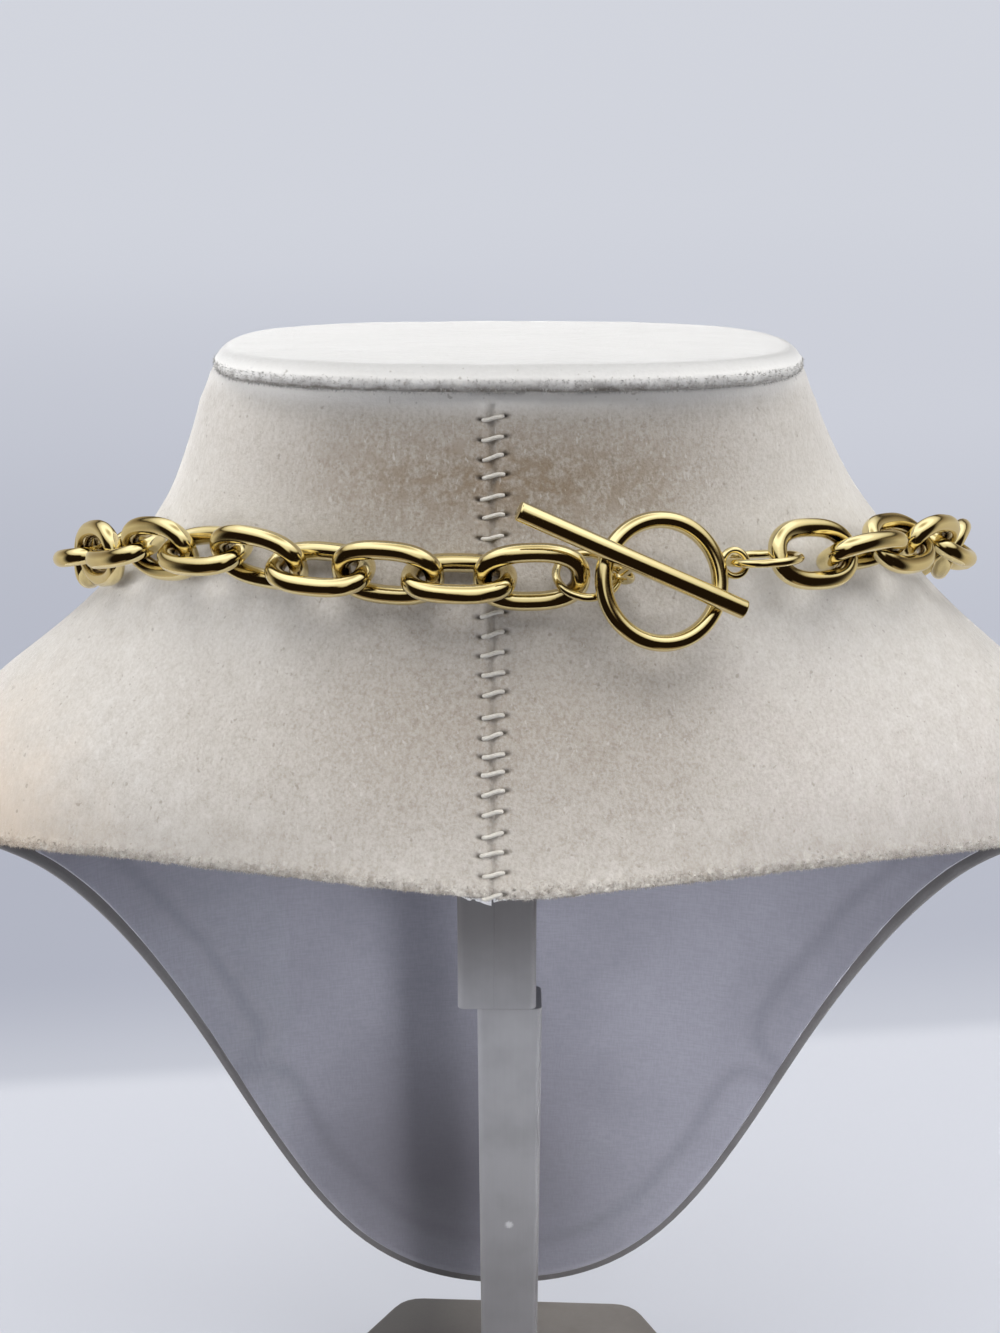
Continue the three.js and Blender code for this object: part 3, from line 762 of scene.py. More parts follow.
class NECKLACE_OT_chain(bpy.types.Operator):
    """Build the oval links of the chain"""

    bl_idname = "necklace.chain"
    bl_label = "Chain links"

    def execute(self, context):
        pattern = oval_link(context.scene.necklace_chain)
        finish_all(pattern, finish("gold"))
        for node in LINK_NODES:
            piece = placed(node.replace("link", "oval_link"), pattern.data.copy())
            settled(piece, lie(node))
            attach(piece, "gold_tone_metal", node)
        bpy.data.objects.remove(pattern)
        return {"FINISHED"}


def ring_frame(settings):
    """Frame of the toggle ring: x towards its eye and z out of its plane."""
    places = corners("toggle_ring")
    axes = axes_of(places)
    spread = places @ axes.T
    middle = (spread.min(axis=0) + spread.max(axis=0)) / 2
    outer = settings.ring_radius + settings.ring_wire / 2
    widest = spread[np.abs(spread[:, 1] - middle[1]) > outer - 0.3 * MM, 0]
    middle[0] = (widest.min() + widest.max()) / 2
    centre = middle @ axes
    if spread[:, 0].max() - middle[0] < middle[0] - spread[:, 0].min():
        axes[0:2] *= -1
    return placement(axes, centre)


def toggle_ring(settings):
    piece = hoop("clasp_ring", settings.ring_radius, settings.ring_wire, 96, 24)
    eye = hoop("eye", settings.ring_eye, settings.ring_eye_wire, 40, 14)
    outer = settings.ring_radius + settings.ring_wire / 2
    reach = outer + settings.ring_eye - settings.ring_eye_wire / 2
    settled(eye, Matrix.Translation((reach, 0, 0)))
    joined(piece, eye)
    return settled(piece, ring_frame(settings))


def bar_ends(places, axis):
    """Middles of the toggle bar's two ends, moved out to the ends of its CAD node."""
    along = places @ axis
    start, end = (
        Vector(places[np.abs(along - limit) < 1.5 * MM].mean(axis=0))
        for limit in (along.min(), along.max())
    )
    direction = (end - start).normalized()
    lean = direction.dot(Vector(axis))
    start -= direction * ((start.dot(Vector(axis)) - along.min()) / lean)
    end += direction * ((along.max() - end.dot(Vector(axis))) / lean)
    return start, end, direction


def toggle_bar(settings):
    """Straight bar with bevelled ends, and the stem and eye behind it."""
    places = corners("toggle_bar")
    start, end, direction = bar_ends(places, axes_of(places)[0])
    piece = rod("clasp_bar", start, end, settings.bar_wire, 40)
    vertex = piece.data.vertices

    def crosswise(edge):
        first, second = (vertex[index].co for index in edge.vertices)
        return abs((first - second).dot(direction)) < 1e-6

    edit(piece, "EDGE", crosswise)
    bpy.ops.mesh.bevel(offset=0.28 * MM, segments=4)
    done()

    off = places - np.array(start)
    across = off - np.outer(off @ np.array(direction), direction)
    far = np.linalg.norm(across, axis=1)
    middle = (places[far > settings.bar_wire] - np.array(start)) @ np.array(direction)
    foot = start + direction * float((middle.min() + middle.max()) / 2)
    out = Vector(across[far > far.max() - 0.4 * MM].mean(axis=0)).normalized()
    out = (out - direction * out.dot(direction)).normalized()
    outer = settings.bar_eye + settings.bar_eye_wire / 2
    centre = foot + out * (float((off @ np.array(out)).max()) - outer)
    stem = rod("stem", foot, centre - out * settings.bar_eye, settings.bar_stem, 20)
    eye = hoop("eye", settings.bar_eye, settings.bar_eye_wire, 40, 16)
    settled(eye, placement([out, direction, out.cross(direction)], centre))
    joined(piece, stem)
    return joined(piece, eye)


class NECKLACE_OT_clasp(bpy.types.Operator):
    """Build the toggle ring, the toggle bar and the two jump rings"""

    bl_idname = "necklace.clasp"
    bl_label = "Toggle clasp"

    def execute(self, context):
        settings = context.scene.necklace_chain
        pieces = [(toggle_ring(settings), "toggle_ring"), (toggle_bar(settings), "toggle_bar")]
        for name, node in (("bar_jump", "bar_jump_ring"), ("ring_jump", "ring_jump_ring")):
            piece = hoop(name, hoop_radius(node, settings.jump_wire), settings.jump_wire, 56, 16)
            pieces.append((settled(piece, lie(node)), node))
        for piece, node in pieces:
            finish_all(smoothed(piece), finish("gold"))
            attach(piece, "gold_tone_metal", node)
        return {"FINISHED"}


def lock_frame(settings):
    """Frame of the padlock: x to the side, y into its depth and z up, from the shackle's top."""
    places = corners("padlock_shackle")
    depth = Vector(axes_of(places)[2])
    if depth.y < 0:
        depth.negate()
    side = Vector((1, 0, 0))
    up = side.cross(depth).normalized()
    axes = np.array([side, depth, up])
    spread = places @ axes.T
    middle = (spread.min(axis=0) + spread.max(axis=0)) / 2
    middle[2] = spread[:, 2].max() - settings.shackle_wire / 2
    return placement(axes, middle @ axes)


def shackle(settings):
    """A round section turned through half a circle, with both ends drawn down as legs."""
    half = settings.shackle_width / 2
    piece = added(
        "lock_shackle",
        bpy.ops.mesh.primitive_circle_add,
        vertices=24,
        radius=settings.shackle_wire / 2,
        location=(half, 0, -half),
    )
    settled(piece)
    bpy.ops.object.mode_set(mode="EDIT")
    bpy.ops.mesh.select_all(action="SELECT")
    bpy.ops.mesh.spin(steps=36, angle=math.pi, center=(0, 0, -half), axis=(0, 1, 0))
    bpy.ops.mesh.select_mode(type="EDGE")
    bpy.ops.mesh.select_all(action="DESELECT")
    bpy.ops.mesh.select_non_manifold()
    drop = settings.shackle_rise + settings.shackle_sink
    bpy.ops.mesh.extrude_region_move(TRANSFORM_OT_translate={"value": (0, 0, -drop)})
    bpy.ops.mesh.select_all(action="DESELECT")
    bpy.ops.mesh.select_non_manifold()
    bpy.ops.mesh.fill_holes(sides=0)
    return ordered(outward_faces(piece))


def keyhole_level(settings):
    """Height of the middle of the keyhole's round part, from the shackle's top."""
    top = -settings.shackle_width / 2 - settings.shackle_rise
    return top - settings.body_height / 2 + settings.keyhole_up


def block(name, middle, size):
    piece = added(name, bpy.ops.mesh.primitive_cube_add, size=1, location=middle)
    piece.scale = size
    return settled(piece)


def padlock_body(settings):
    """Rounded block with two bores for the shackle and a plain keyhole."""
    half = settings.shackle_width / 2
    top = -half - settings.shackle_rise
    piece = block(
        "lock_body",
        (0, 0, top - settings.body_height / 2),
        (settings.body_width, settings.body_depth, settings.body_height),
    )
    vertex = piece.data.vertices

    def runs_through(edge):
        first, second = (vertex[index].co for index in edge.vertices)
        return abs(first.y - second.y) > 1 * MM

    edit(piece, "EDGE", runs_through)
    bpy.ops.mesh.bevel(offset=settings.body_corner, segments=10)
    bpy.ops.mesh.select_all(action="DESELECT")
    bpy.ops.mesh.edges_select_sharp(sharpness=math.radians(60))
    bpy.ops.mesh.bevel(offset=settings.body_edge, segments=4)
    done()
    low, past = top - settings.shackle_sink - 0.3 * MM, 1 * MM
    for x in (-half, half):
        start, end = Vector((x, 0, low)), Vector((x, 0, top + past))
        bore = rod("bore", start, end, settings.shackle_wire + 0.6 * MM)
        joined(piece, bore, "DIFFERENCE")
    front, level = -settings.body_depth / 2, keyhole_level(settings)
    deep = settings.keyhole_depth
    start, end = Vector((0, front + deep, level)), Vector((0, front - past, level))
    joined(piece, rod("hole", start, end, 2 * settings.keyhole_radius, 36), "DIFFERENCE")
    slot = block(
        "slot",
        (0, front + (deep - past) / 2, level - settings.keyhole_drop / 2),
        (settings.keyhole_slot, deep + past, settings.keyhole_drop),
    )
    return ordered(joined(piece, slot, "DIFFERENCE"))


def darken_keyhole(piece, inverse, settings):
    """Gives the faces inside the keyhole the second material, whose dark colour is painted shade.
    """
    level, front = keyhole_level(settings), -settings.body_depth / 2
    for face in piece.data.polygons:
        x, y, z = inverse @ face.center
        beside = abs(x) < settings.keyhole_radius + 0.02 * MM
        beside = beside and abs(z - level) < settings.keyhole_drop + 1 * MM
        if beside and 0.05 * MM < y - front < 2 * MM:
            face.material_index = 1


class NECKLACE_OT_padlock(bpy.types.Operator):
    """Build the padlock and the ring that it hangs from"""

    bl_idname = "necklace.padlock"
    bl_label = "Padlock"

    def execute(self, context):
        settings = context.scene.necklace_padlock
        place = lock_frame(settings)
        wire = settings.hanger_wire
        ring = hoop("lock_hanger", hoop_radius("pendant_ring", wire), wire, 56, 16)
        pieces = [
            (settled(ring, lie("pendant_ring")), "pendant_ring"),
            (settled(shackle(settings), place), "padlock_shackle"),
            (settled(padlock_body(settings), place), "padlock_body"),
        ]
        for piece, node in pieces:
            finish_all(smoothed(piece, 35), finish("gold"), finish("keyhole"))
            attach(piece, "gold_tone_metal", node)
        darken_keyhole(pieces[-1][0], place.inverted(), settings)
        return {"FINISHED"}


# ---- velvet form --------------------------------------------------------------------------


def on_surface(surface, x, z):
    """Point and normal of the back of the form at a place seen from behind."""
    place, normal, _, _ = surface.ray_cast(Vector((x, 0.2, z)), Vector((0, -1, 0)))
    return (place, normal) if place is not None else None


def surface_of(piece):
    mesh = piece.data
    return BVHTree.FromPolygons(
        [v.co.copy() for v in mesh.vertices], [tuple(p.vertices) for p in mesh.polygons]
    )


def seam_holes(settings, surface):
    """Needle holes in pairs down the back seam, each left one a little lower than the other."""
    low, height = 125.5 * MM, 197 * MM
    rows = []
    chance = random.Random(7)
    while height > low:
        pair = []
        for side, drop in ((1, 0.55 * MM), (-1, 0.0)):
            x = settings.seam_place + side * settings.seam_reach * chance.uniform(0.86, 1.10)
            z = height - drop + chance.uniform(-0.2, 0.2) * MM
            pair.append(on_surface(surface, x, z))
        # Below the hem's point both places lie on the chest panel, which has no seam.
        if all(pair) and max(spot.y for spot, _ in pair) > 0:
            rows.append(pair)
        steep = abs(pair[0][1].z) if pair[0] else 0.0
        level = math.sqrt(max(0.05, 1 - steep**2))
        height -= settings.stitch_pitch * level * chance.uniform(0.93, 1.07)
    return rows


def crease_rim(mesh, rim, wall, sharpness):
    """Creases a rim so that its outline curves smoothly but keeps its corners; gives its points.

    Only its long edges, which run along it, and the edges at its corners are creased.
    """
    vertex = mesh.vertices
    beside = {index: [] for index in rim}
    inside = [edge for edge in mesh.edges if all(i in rim for i in edge.vertices)]
    long = {}
    for edge in inside:
        first, second = edge.vertices
        long[edge.index] = (vertex[first].co - vertex[second].co).length > wall
        if long[edge.index]:
            beside[first].append(vertex[second].co)
            beside[second].append(vertex[first].co)

    def turns(index):
        here, ends = vertex[index].co, beside[index]
        return len(ends) != 2 or (here - ends[0]).angle(ends[1] - here) > math.radians(38)

    kept = {index for index in rim if turns(index)}
    values = np.zeros(len(mesh.edges))
    for edge in inside:
        if long[edge.index] or kept.intersection(edge.vertices):
            values[edge.index] = sharpness
    mesh.attributes.new("crease_edge", "FLOAT", "EDGE").data.foreach_set("value", values)
    return [
        vertex[index].co.copy()
        if index in kept
        else (4 * vertex[index].co + beside[index][0] + beside[index][1]) / 6
        for index in rim
    ]


def dense_line(spots):
    """The corners of an edge, each once, and more points between neighbouring ones."""
    spots = [Vector(spot) for spot in {tuple(round(n, 6) for n in spot) for spot in spots}]
    tree = tree_of(spots)
    dense = []
    for spot in spots:
        for other, _, gap in tree.find_n(spot, 4):
            steps = max(1, int(gap / (1.2 * MM)))
            dense += [spot.lerp(other, i / steps) for i in range(steps)]
    return dense


VELVET, BACK, RIM_SHADE = range(3)  # the form's three materials


def form_shell():
    """The bust's wall with its three materials and rounded facets, and the line of its edge."""
    piece = quads(cad_copy("velvet_form", "bust_shell"))
    finish_all(piece, finish("velvet"), finish("lining"), finish("rim_shade"))
    mesh = piece.data
    vertex = mesh.vertices
    wall, back = 3.2 * MM, 4 * MM
    rim = set()
    for face in mesh.polygons:
        sides = [(vertex[a].co - vertex[b].co).length for a, b in face.edge_keys]
        middle = face.center
        outward = Vector((middle.x * 0.5, middle.y * 0.7, 20 * MM))
        if min(sides) < wall and len(sides) == 4:
            rim.update(face.vertices)
            # Rim faces low on the chest panel get the painted rim shade; the others stay velvet.
            face.material_index = RIM_SHADE if middle.y < back and middle.z < 150 * MM else VELVET
        elif face.normal.dot(outward) < 0:
            face.material_index = BACK
    for face in mesh.polygons:
        inside = face.material_index == BACK and face.center.y < back
        if inside and rim.intersection(face.vertices):
            face.material_index = RIM_SHADE
    outline = crease_rim(mesh, rim, wall, 0.45)
    modified(piece, "SUBSURF", levels=2, render_levels=2)
    return piece, dense_line([spot for spot in outline if spot.z < 190 * MM])


def refined(piece, seam, edge_line):
    """Cuts the facets finer beside the seam and along the lower edge."""
    by_seam, by_edge, neck_top, fine = 3.4 * MM, 4.2 * MM, 199 * MM, 1.2 * MM**2

    def beside_seam(face):
        near = abs(face.center.x - seam) < by_seam and face.center.y > 0
        return near and face.material_index == VELVET and face.center.z < neck_top

    edit(piece, "FACE", beside_seam)
    bpy.ops.mesh.subdivide(number_cuts=4)
    done()
    centres = [face.center.copy() for face in piece.data.polygons]
    close = distances(centres, edge_line) < by_edge

    def at_edge(face):
        return close[face.index] and face.material_index == VELVET and face.area > fine

    edit(piece, "FACE", at_edge)
    bpy.ops.mesh.subdivide(number_cuts=3)
    done()


def sewn(places, seam):
    """How far the velvet is raised by the seam's groove and needle holes, and how much painted
    shade they get.
    """
    height = places[:, 2]
    wander = 0.12 * MM * np.sin(height / (1.7 * MM)) + 0.16 * MM * np.sin(height / (0.89 * MM))
    aside = places[:, 0] - seam - wander
    narrow = np.array([0.62, 1.0, 1.0])
    holes = [np.array(spot) * narrow for pair in HOLES for spot, _ in pair]
    to_hole = distances(places * narrow, holes)
    ridges = 0.14 * MM * bell(np.abs(aside) - 1.0 * MM, 0.6 * MM)
    raised = ridges - 0.30 * MM * bell(aside, 0.46 * MM) - 0.80 * MM * bell(to_hole, 0.30 * MM)
    fade = np.clip((height - 126 * MM) / (14 * MM), 0.4, 1)
    return raised, 0.27 * bell(aside, 0.42 * MM) * fade + 0.9 * bell(to_hole, 0.29 * MM)


def velvet_form(settings):
    """The form with a rolled hem, a sewn back seam and slightly uneven velvet."""
    piece, edge_line = form_shell()
    seam = settings.seam_place
    refined(piece, seam, edge_line)

    places = points(piece)
    across, height = places[:, 0], places[:, 2]
    outward = normals(piece)
    outer = np.zeros(len(places), bool)
    for face in piece.data.polygons:
        if face.material_index == VELVET:
            outer[list(face.vertices)] = True

    from_edge = distances(places, edge_line)
    rear = ramp(places[:, 1], -2 * MM, 8 * MM)
    push = -np.where(outer, 0.22 * MM * (1 + hills(places, 24 * MM, 3.0)), 0)
    rolled = bell(from_edge - 0.6 * MM, 1.3 * MM)
    tufted = hills(places, 1.7 * MM, 9.0, 3) * rear
    push += outer * rolled * 0.30 * MM * (0.35 + 0.65 * rear + 0.7 * tufted)
    flare = eased(ramp(height, 177 * MM, 17 * MM)) * ramp(np.abs(across), 22 * MM, 16 * MM)
    flare *= 1 - 0.8 * ramp(height, 193 * MM, 7 * MM)
    push += outer * flare * np.where(across > 0, 1.7 * MM, 1.1 * MM)
    # Painted shade along the hem, most where it faces down, and towards the hem at the sides.
    below = np.clip(-outward[:, 2], 0, 1)
    worked = 0.45 * bell(from_edge, 1.2 * MM) * (0.35 + below)
    worked += 0.33 * bell(from_edge, 7 * MM) * ramp(np.abs(across), 15 * MM, 30 * MM)

    HOLES[:] = seam_holes(settings, surface_of(piece))
    near_seam = outer & (places[:, 1] > 0) & (np.abs(across - seam) < 8 * MM)
    raised, seam_shade = sewn(places[near_seam], seam)
    push[near_seam] += raised
    worked[near_seam] += seam_shade
    set_points(piece, places + outward * push[:, None])

    behind = eased(ramp(places[:, 1], -16 * MM, 26 * MM))
    # Painted shade down the middle of the neck's back, strongest just under the cap; the grain is
    # busier there.
    nap = 0.54 * bell(height - 188 * MM, 9 * MM) * bell(across, 38 * MM)
    nap += 0.25 * bell(height - 155 * MM, 15 * MM) * bell(across, 48 * MM)
    nap *= behind
    # Painted highlight in a band just under the cap and on the neck's sides.
    sides = ramp(np.abs(across), 20 * MM, 16 * MM) * bell(height - 176 * MM, 24 * MM)
    pale = bell(height - 199.5 * MM, 1.9 * MM) + 0.32 * sides
    paint(
        piece,
        worked=np.clip(worked, 0, 1),
        hem=np.clip(1.15 * bell(from_edge, 1.7 * MM), 0, 1) * outer * rear,
        nap=nap,
        busy=0.75 + 3.2 * nap,
        pale=np.clip(pale, 0, 1) * behind,
        margin=0,
        dim=0,
        lip=0,
    )
    return smoothed(piece, 70)


def pile(ground, name, kind, count, weight):
    """Loose hairs that stand off a piece: one mesh of slim closed spikes."""
    chance = np.random.default_rng(11)
    weights = weight(ground)
    chosen = chance.choice(len(weights), count, p=weights / weights.sum())
    mesh = ground.data
    spots, rise = [], []
    for index in chosen:
        face = mesh.polygons[index]
        mixed = chance.dirichlet(np.ones(len(face.vertices)))
        spots.append(sum(w * np.array(mesh.vertices[i].co) for w, i in zip(mixed, face.vertices)))
        rise.append(np.array(face.normal))
    spots, rise = np.array(spots), np.array(rise)
    lean = rise + chance.normal(0, 0.55, rise.shape)
    lean /= np.linalg.norm(lean, axis=1)[:, None]
    tall = 0.55 * MM * chance.uniform(0.45, 1.0, count)[:, None]
    first = np.cross(lean, chance.normal(0, 1, rise.shape))
    first /= np.linalg.norm(first, axis=1)[:, None]
    second = np.cross(lean, first)
    root = spots - lean * 0.15 * MM
    half = 0.06 * MM
    ring = [
        root + first * half,
        root + second * half - first * half * 0.5,
        root - second * half - first * half * 0.5,
    ]
    ends = np.stack([*ring, spots + lean * tall], axis=1).reshape(-1, 3)
    start = np.arange(count)[:, None] * 4
    sides = ([0, 2, 1], [0, 1, 3], [1, 2, 3], [2, 0, 3])
    faces = np.concatenate([start + np.array(side) for side in sides], axis=1)
    data = bpy.data.meshes.new(name)
    data.from_pydata(ends.tolist(), [], faces.reshape(-1, 3).tolist())
    piece = outward_faces(placed(name, data))
    # Some loose hairs are darker at random.
    dull = np.repeat(chance.uniform(0, 1, count) ** 2 * 0.8, 4)
    paint(piece, worked=dull, hem=0.5, busy=0.5)
    finish_all(piece, finish(kind))
    attach(piece, "velvet" if kind == "velvet" else "cap_velvet")
    return piece


def hem_weight(piece):
    """How thickly each face carries loose hairs: on the rolled hem only."""
    hem = np.empty(len(piece.data.vertices))
    piece.data.attributes["hem"].data.foreach_get("value", hem)
    faces = piece.data.polygons
    return np.array([f.area * max(0.0, hem[list(f.vertices)].mean() - 0.25) for f in faces])


class NECKLACE_OT_velvet_form(bpy.types.Operator):
    """Build the velvet-covered form of the neck and shoulders"""

    bl_idname = "necklace.velvet_form"
    bl_label = "Velvet form"

    def execute(self, context):
        piece = velvet_form(context.scene.necklace_form)
        attach(piece, "velvet", "bust_shell")
        pile(piece, "hem_pile", "velvet", 15000, hem_weight)
        return {"FINISHED"}


CAP_POWER = 2.6  # how square the cap's outline is


def cap_shape(settings, half, thick):
    """Rounded oblong disc with a padded upper edge and rings of faces on both sides."""
    piece = added(
        "velvet_cap", bpy.ops.mesh.primitive_cylinder_add, vertices=160, radius=1, depth=thick
    )
    places = points(piece)
    turn = np.arctan2(places[:, 1], places[:, 0])
    places[:, 0:2] = superellipse(turn, half, CAP_POWER)
    set_points(piece, places)
    vertex = piece.data.vertices
    foot = 0.1 * MM - thick / 2
    edit(piece, "EDGE", lambda edge: all(vertex[i].co.z > 0 for i in edge.vertices))
    bpy.ops.mesh.bevel(offset=settings.cap_edge, segments=7)
    done()
    vertex = piece.data.vertices
    edit(piece, "EDGE", lambda edge: all(vertex[i].co.z < foot for i in edge.vertices))
    bpy.ops.mesh.bevel(offset=0.45 * settings.cap_edge, segments=4)
    done()
    for side in (1, -1):
        edit(piece, "FACE", lambda face: len(face.vertices) > 8 and face.normal.z * side > 0)
        for ring in range(12, 1, -1):
            bpy.ops.mesh.extrude_region_move()
            shrink = (ring - 1) / ring
            bpy.ops.transform.resize(value=(shrink, shrink, 1))
        bpy.ops.mesh.poke()
        done()
    return ordered(piece)


def cap_weight(piece):
    """How thickly each face carries loose hairs: on the cap's lower edge only."""
    wide, deep, middle = 44 * MM, 36.5 * MM, -1 * MM

    def bare(face):
        x, y = face.center.x / wide, (face.center.y - middle) / deep
        return face.normal.z >= 0.35 or math.hypot(x, y) <= 0.96

    return np.array([0.0 if bare(face) else face.area for face in piece.data.polygons])


class NECKLACE_OT_velvet_cap(bpy.types.Operator):
    """Build the padded velvet cap on the neck"""

    bl_idname = "necklace.velvet_cap"
    bl_label = "Velvet cap"

    def execute(self, context):
        settings = context.scene.necklace_form
        low, high = (Vector(corner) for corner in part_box("neck_cap"))
        half = (high - low) / 2
        centre = (high + low) / 2
        slope = (2 * half.z - settings.cap_thickness) / (2 * half.y)
        thick = settings.cap_thickness + settings.cap_sag
        centre.z -= settings.cap_sag / 2
        wide, deep = half.x - 0.9 * MM, half.y
        piece = cap_shape(settings, (wide, deep), thick)
        places = points(piece)
        outward = normals(piece)
        reach = (np.abs(places[:, 0]) / wide) ** CAP_POWER
        reach += (np.abs(places[:, 1]) / deep) ** CAP_POWER
        inward = 1 - reach ** (1 / CAP_POWER)
        lower = np.clip(-places[:, 2] / (thick / 2), 0, 1)
        tufts = hills(places, 1.9 * MM, 2.0, 3)
        push = -0.10 * MM * (1 + hills(places, 11 * MM, 5.0, 3))
        push += 0.30 * MM * np.clip(tufts, -1, 0.2) * np.sqrt(lower) * (inward < 0.08)
        places = places + outward * push[:, None]
        places[:, 2] -= 0.35 * MM * bell(inward, 0.22) * (places[:, 2] > 0)
        places[:, 2] += slope * places[:, 1]
        set_points(piece, places + np.array(centre))
        rim = bell(inward, 0.07)
        shaded = ramp(lower, 0.15, 0.7)
        # Painted highlight on the cap's rounded edge, where it turns down from the top.
        rounded = np.clip(1.5 * (1 - outward[:, 2]), 0, 1) * (1 - shaded)
        # Painted shade on the lower part of the cap's edge, mottled by tufts and weaker towards
        # one end.
        lower_edge_shade = 0.43 * shaded + 0.62 * shaded**6 - 0.66 * tufts * np.sqrt(shaded)
        lower_edge_shade *= 1 - 0.6 * ramp(-places[:, 0], 14 * MM, 20 * MM)
        paint(
            piece,
            worked=np.clip(rim * lower_edge_shade, 0, 1),
            hem=0.9 * rim * np.sqrt(lower),
            pale=0.8 * rim * rounded * ramp(places[:, 1], -16 * MM, 26 * MM),
            busy=0.35,
        )
        finish_all(smoothed(piece, 80), finish("cap"))
        attach(piece, "cap_velvet", "neck_cap")
        pile(piece, "cap_pile", "cap", 9000, cap_weight)
        return {"FINISHED"}


# Points of a stitch: the share of the way across, and the height over the velvet in millimetres.
STITCH = ((0.10, -0.36), (0.19, 0.00), (0.38, 0.13), (0.62, 0.15), (0.81, 0.02), (0.90, -0.36))


class NECKLACE_OT_stitches(bpy.types.Operator):
    """Sew the back seam: one arched thread between each pair of needle holes"""

    bl_idname = "necklace.stitches"
    bl_label = "Seam stitches"

    def execute(self, context):
        settings = context.scene.necklace_form
        surface = surface_of(bpy.data.objects["velvet_form"])
        curve = bpy.data.curves.new("seam_stitches", "CURVE")
        curve.dimensions = "3D"
        curve.bevel_depth = settings.thread / 2
        curve.bevel_resolution = 2
        curve.resolution_u = 4
        curve.use_fill_caps = True
        chance = random.Random(5)
        for (left, left_out), (right, right_out) in HOLES:
            out = (left_out + right_out).normalized()
            droop = chance.uniform(-0.15, 0.15) * MM
            spline = curve.splines.new("BEZIER")
            spline.bezier_points.add(len(STITCH) - 1)
            for point, (way, lift) in zip(spline.bezier_points, STITCH):
                spot = left.lerp(right, way)
                hit = on_surface(surface, spot.x, spot.z)
                ground = max(hit[0].y, min(left.y, right.y)) if hit else spot.y
                point.co = Vector((spot.x, ground, spot.z)) + out * lift * MM
                point.co.z += droop * math.sin(math.pi * way)
                point.co.z -= 0.10 * MM * math.sin(2 * math.pi * way)
                point.handle_left_type = point.handle_right_type = "AUTO"
        placed("seam_stitches", curve)
        bpy.ops.object.convert(target="MESH")
        piece = smoothed(bpy.context.object, 60)
        finish_all(piece, finish("thread"))
        attach(piece, "velvet")
        return {"FINISHED"}


# Folded corners, from the seam outwards in millimetres: the distance from it, and the heights of
# the upper and the lower edge over the hem.
LINING_CORNERS = {
    "lining_corner_left": ((0.15, -0.75, -1.75), (2.4, -0.30, -0.95), (4.6, 0.25, 0.05)),
    "lining_corner_right": (
        (-0.15, 0.15, -1.25),
        (-2.2, 0.35, -0.72),
        (-5.2, 0.4, -0.42),
        (-12, 0.5, -0.30),
        (-21, 0.6, -0.05),
    ),
}


def hem_at(form, x):
    """Lowest point of the hem at the back of the form, beside the seam."""
    near = form[np.abs(form[:, 0] - x) < 0.9 * MM]
    return near[near[:, 2].argmin()].copy()


class NECKLACE_OT_hem_corners(bpy.types.Operator):
    """Fold the two white lining corners that show below the hem's point"""

    bl_idname = "necklace.hem_corners"
    bl_label = "Lining corners"

    def execute(self, context):
        seam = context.scene.necklace_form.seam_place
        form = points(bpy.data.objects["velvet_form"])
        form = form[(form[:, 1] > 30 * MM) & (form[:, 2] < 140 * MM)]
        for name, shape in LINING_CORNERS.items():
            piece = added(
                name, bpy.ops.mesh.primitive_grid_add, x_subdivisions=40, y_subdivisions=4, size=1
            )
            places = points(piece)
            away, top, foot = np.array(sorted(shape)).T
            aside = np.interp(places[:, 0] + 0.5, np.linspace(0, 1, len(away)), away)
            top, foot = np.interp(aside, away, top), np.interp(aside, away, foot)
            down = 0.5 - places[:, 1]
            hem = np.array([hem_at(form, seam + x * MM) for x in aside])
            hem[:, 0] = seam + aside * MM
            hem[:, 1] += (-0.5 - 0.35 * down + 0.12 * np.sin(aside * 2.1)) * MM
            hem[:, 2] += (top + (foot - top) * down) * MM
            set_points(piece, hem)
            outward_faces(modified(piece, "SOLIDIFY", thickness=0.35 * MM, offset=0.0))
            finish_all(smoothed(piece, 50), finish("satin"))
            attach(piece, "lining")
        return {"FINISHED"}


# Creases in the lining: x and z of the middle in millimetres, and how far each leans.
LINING_CREASES = ((64, 108, 0.5), (57, 101, 0.9), (-66, 112, -0.5), (-58, 103, -1.1))


def lining_panel():
    """The lining, a little smaller than the chest panel it lies in, and the points of its edge.
    """
    piece = quads(cad_copy("chest_lining", "panel_lining"))
    mesh = piece.data
    middle = Vector((0, 0, 100 * MM))
    for vertex in mesh.vertices:
        kept = vertex.co.y
        vertex.co = middle.lerp(vertex.co, 0.985)
        vertex.co.y = kept
    thick = 1.3 * MM
    vertex = mesh.vertices
    rim = {
        i
        for face in mesh.polygons
        if min((vertex[a].co - vertex[b].co).length for a, b in face.edge_keys) < thick
        for i in face.vertices
    }
    outline = crease_rim(mesh, rim, thick, 0.8)
    return modified(piece, "SUBSURF", levels=3, render_levels=3), outline


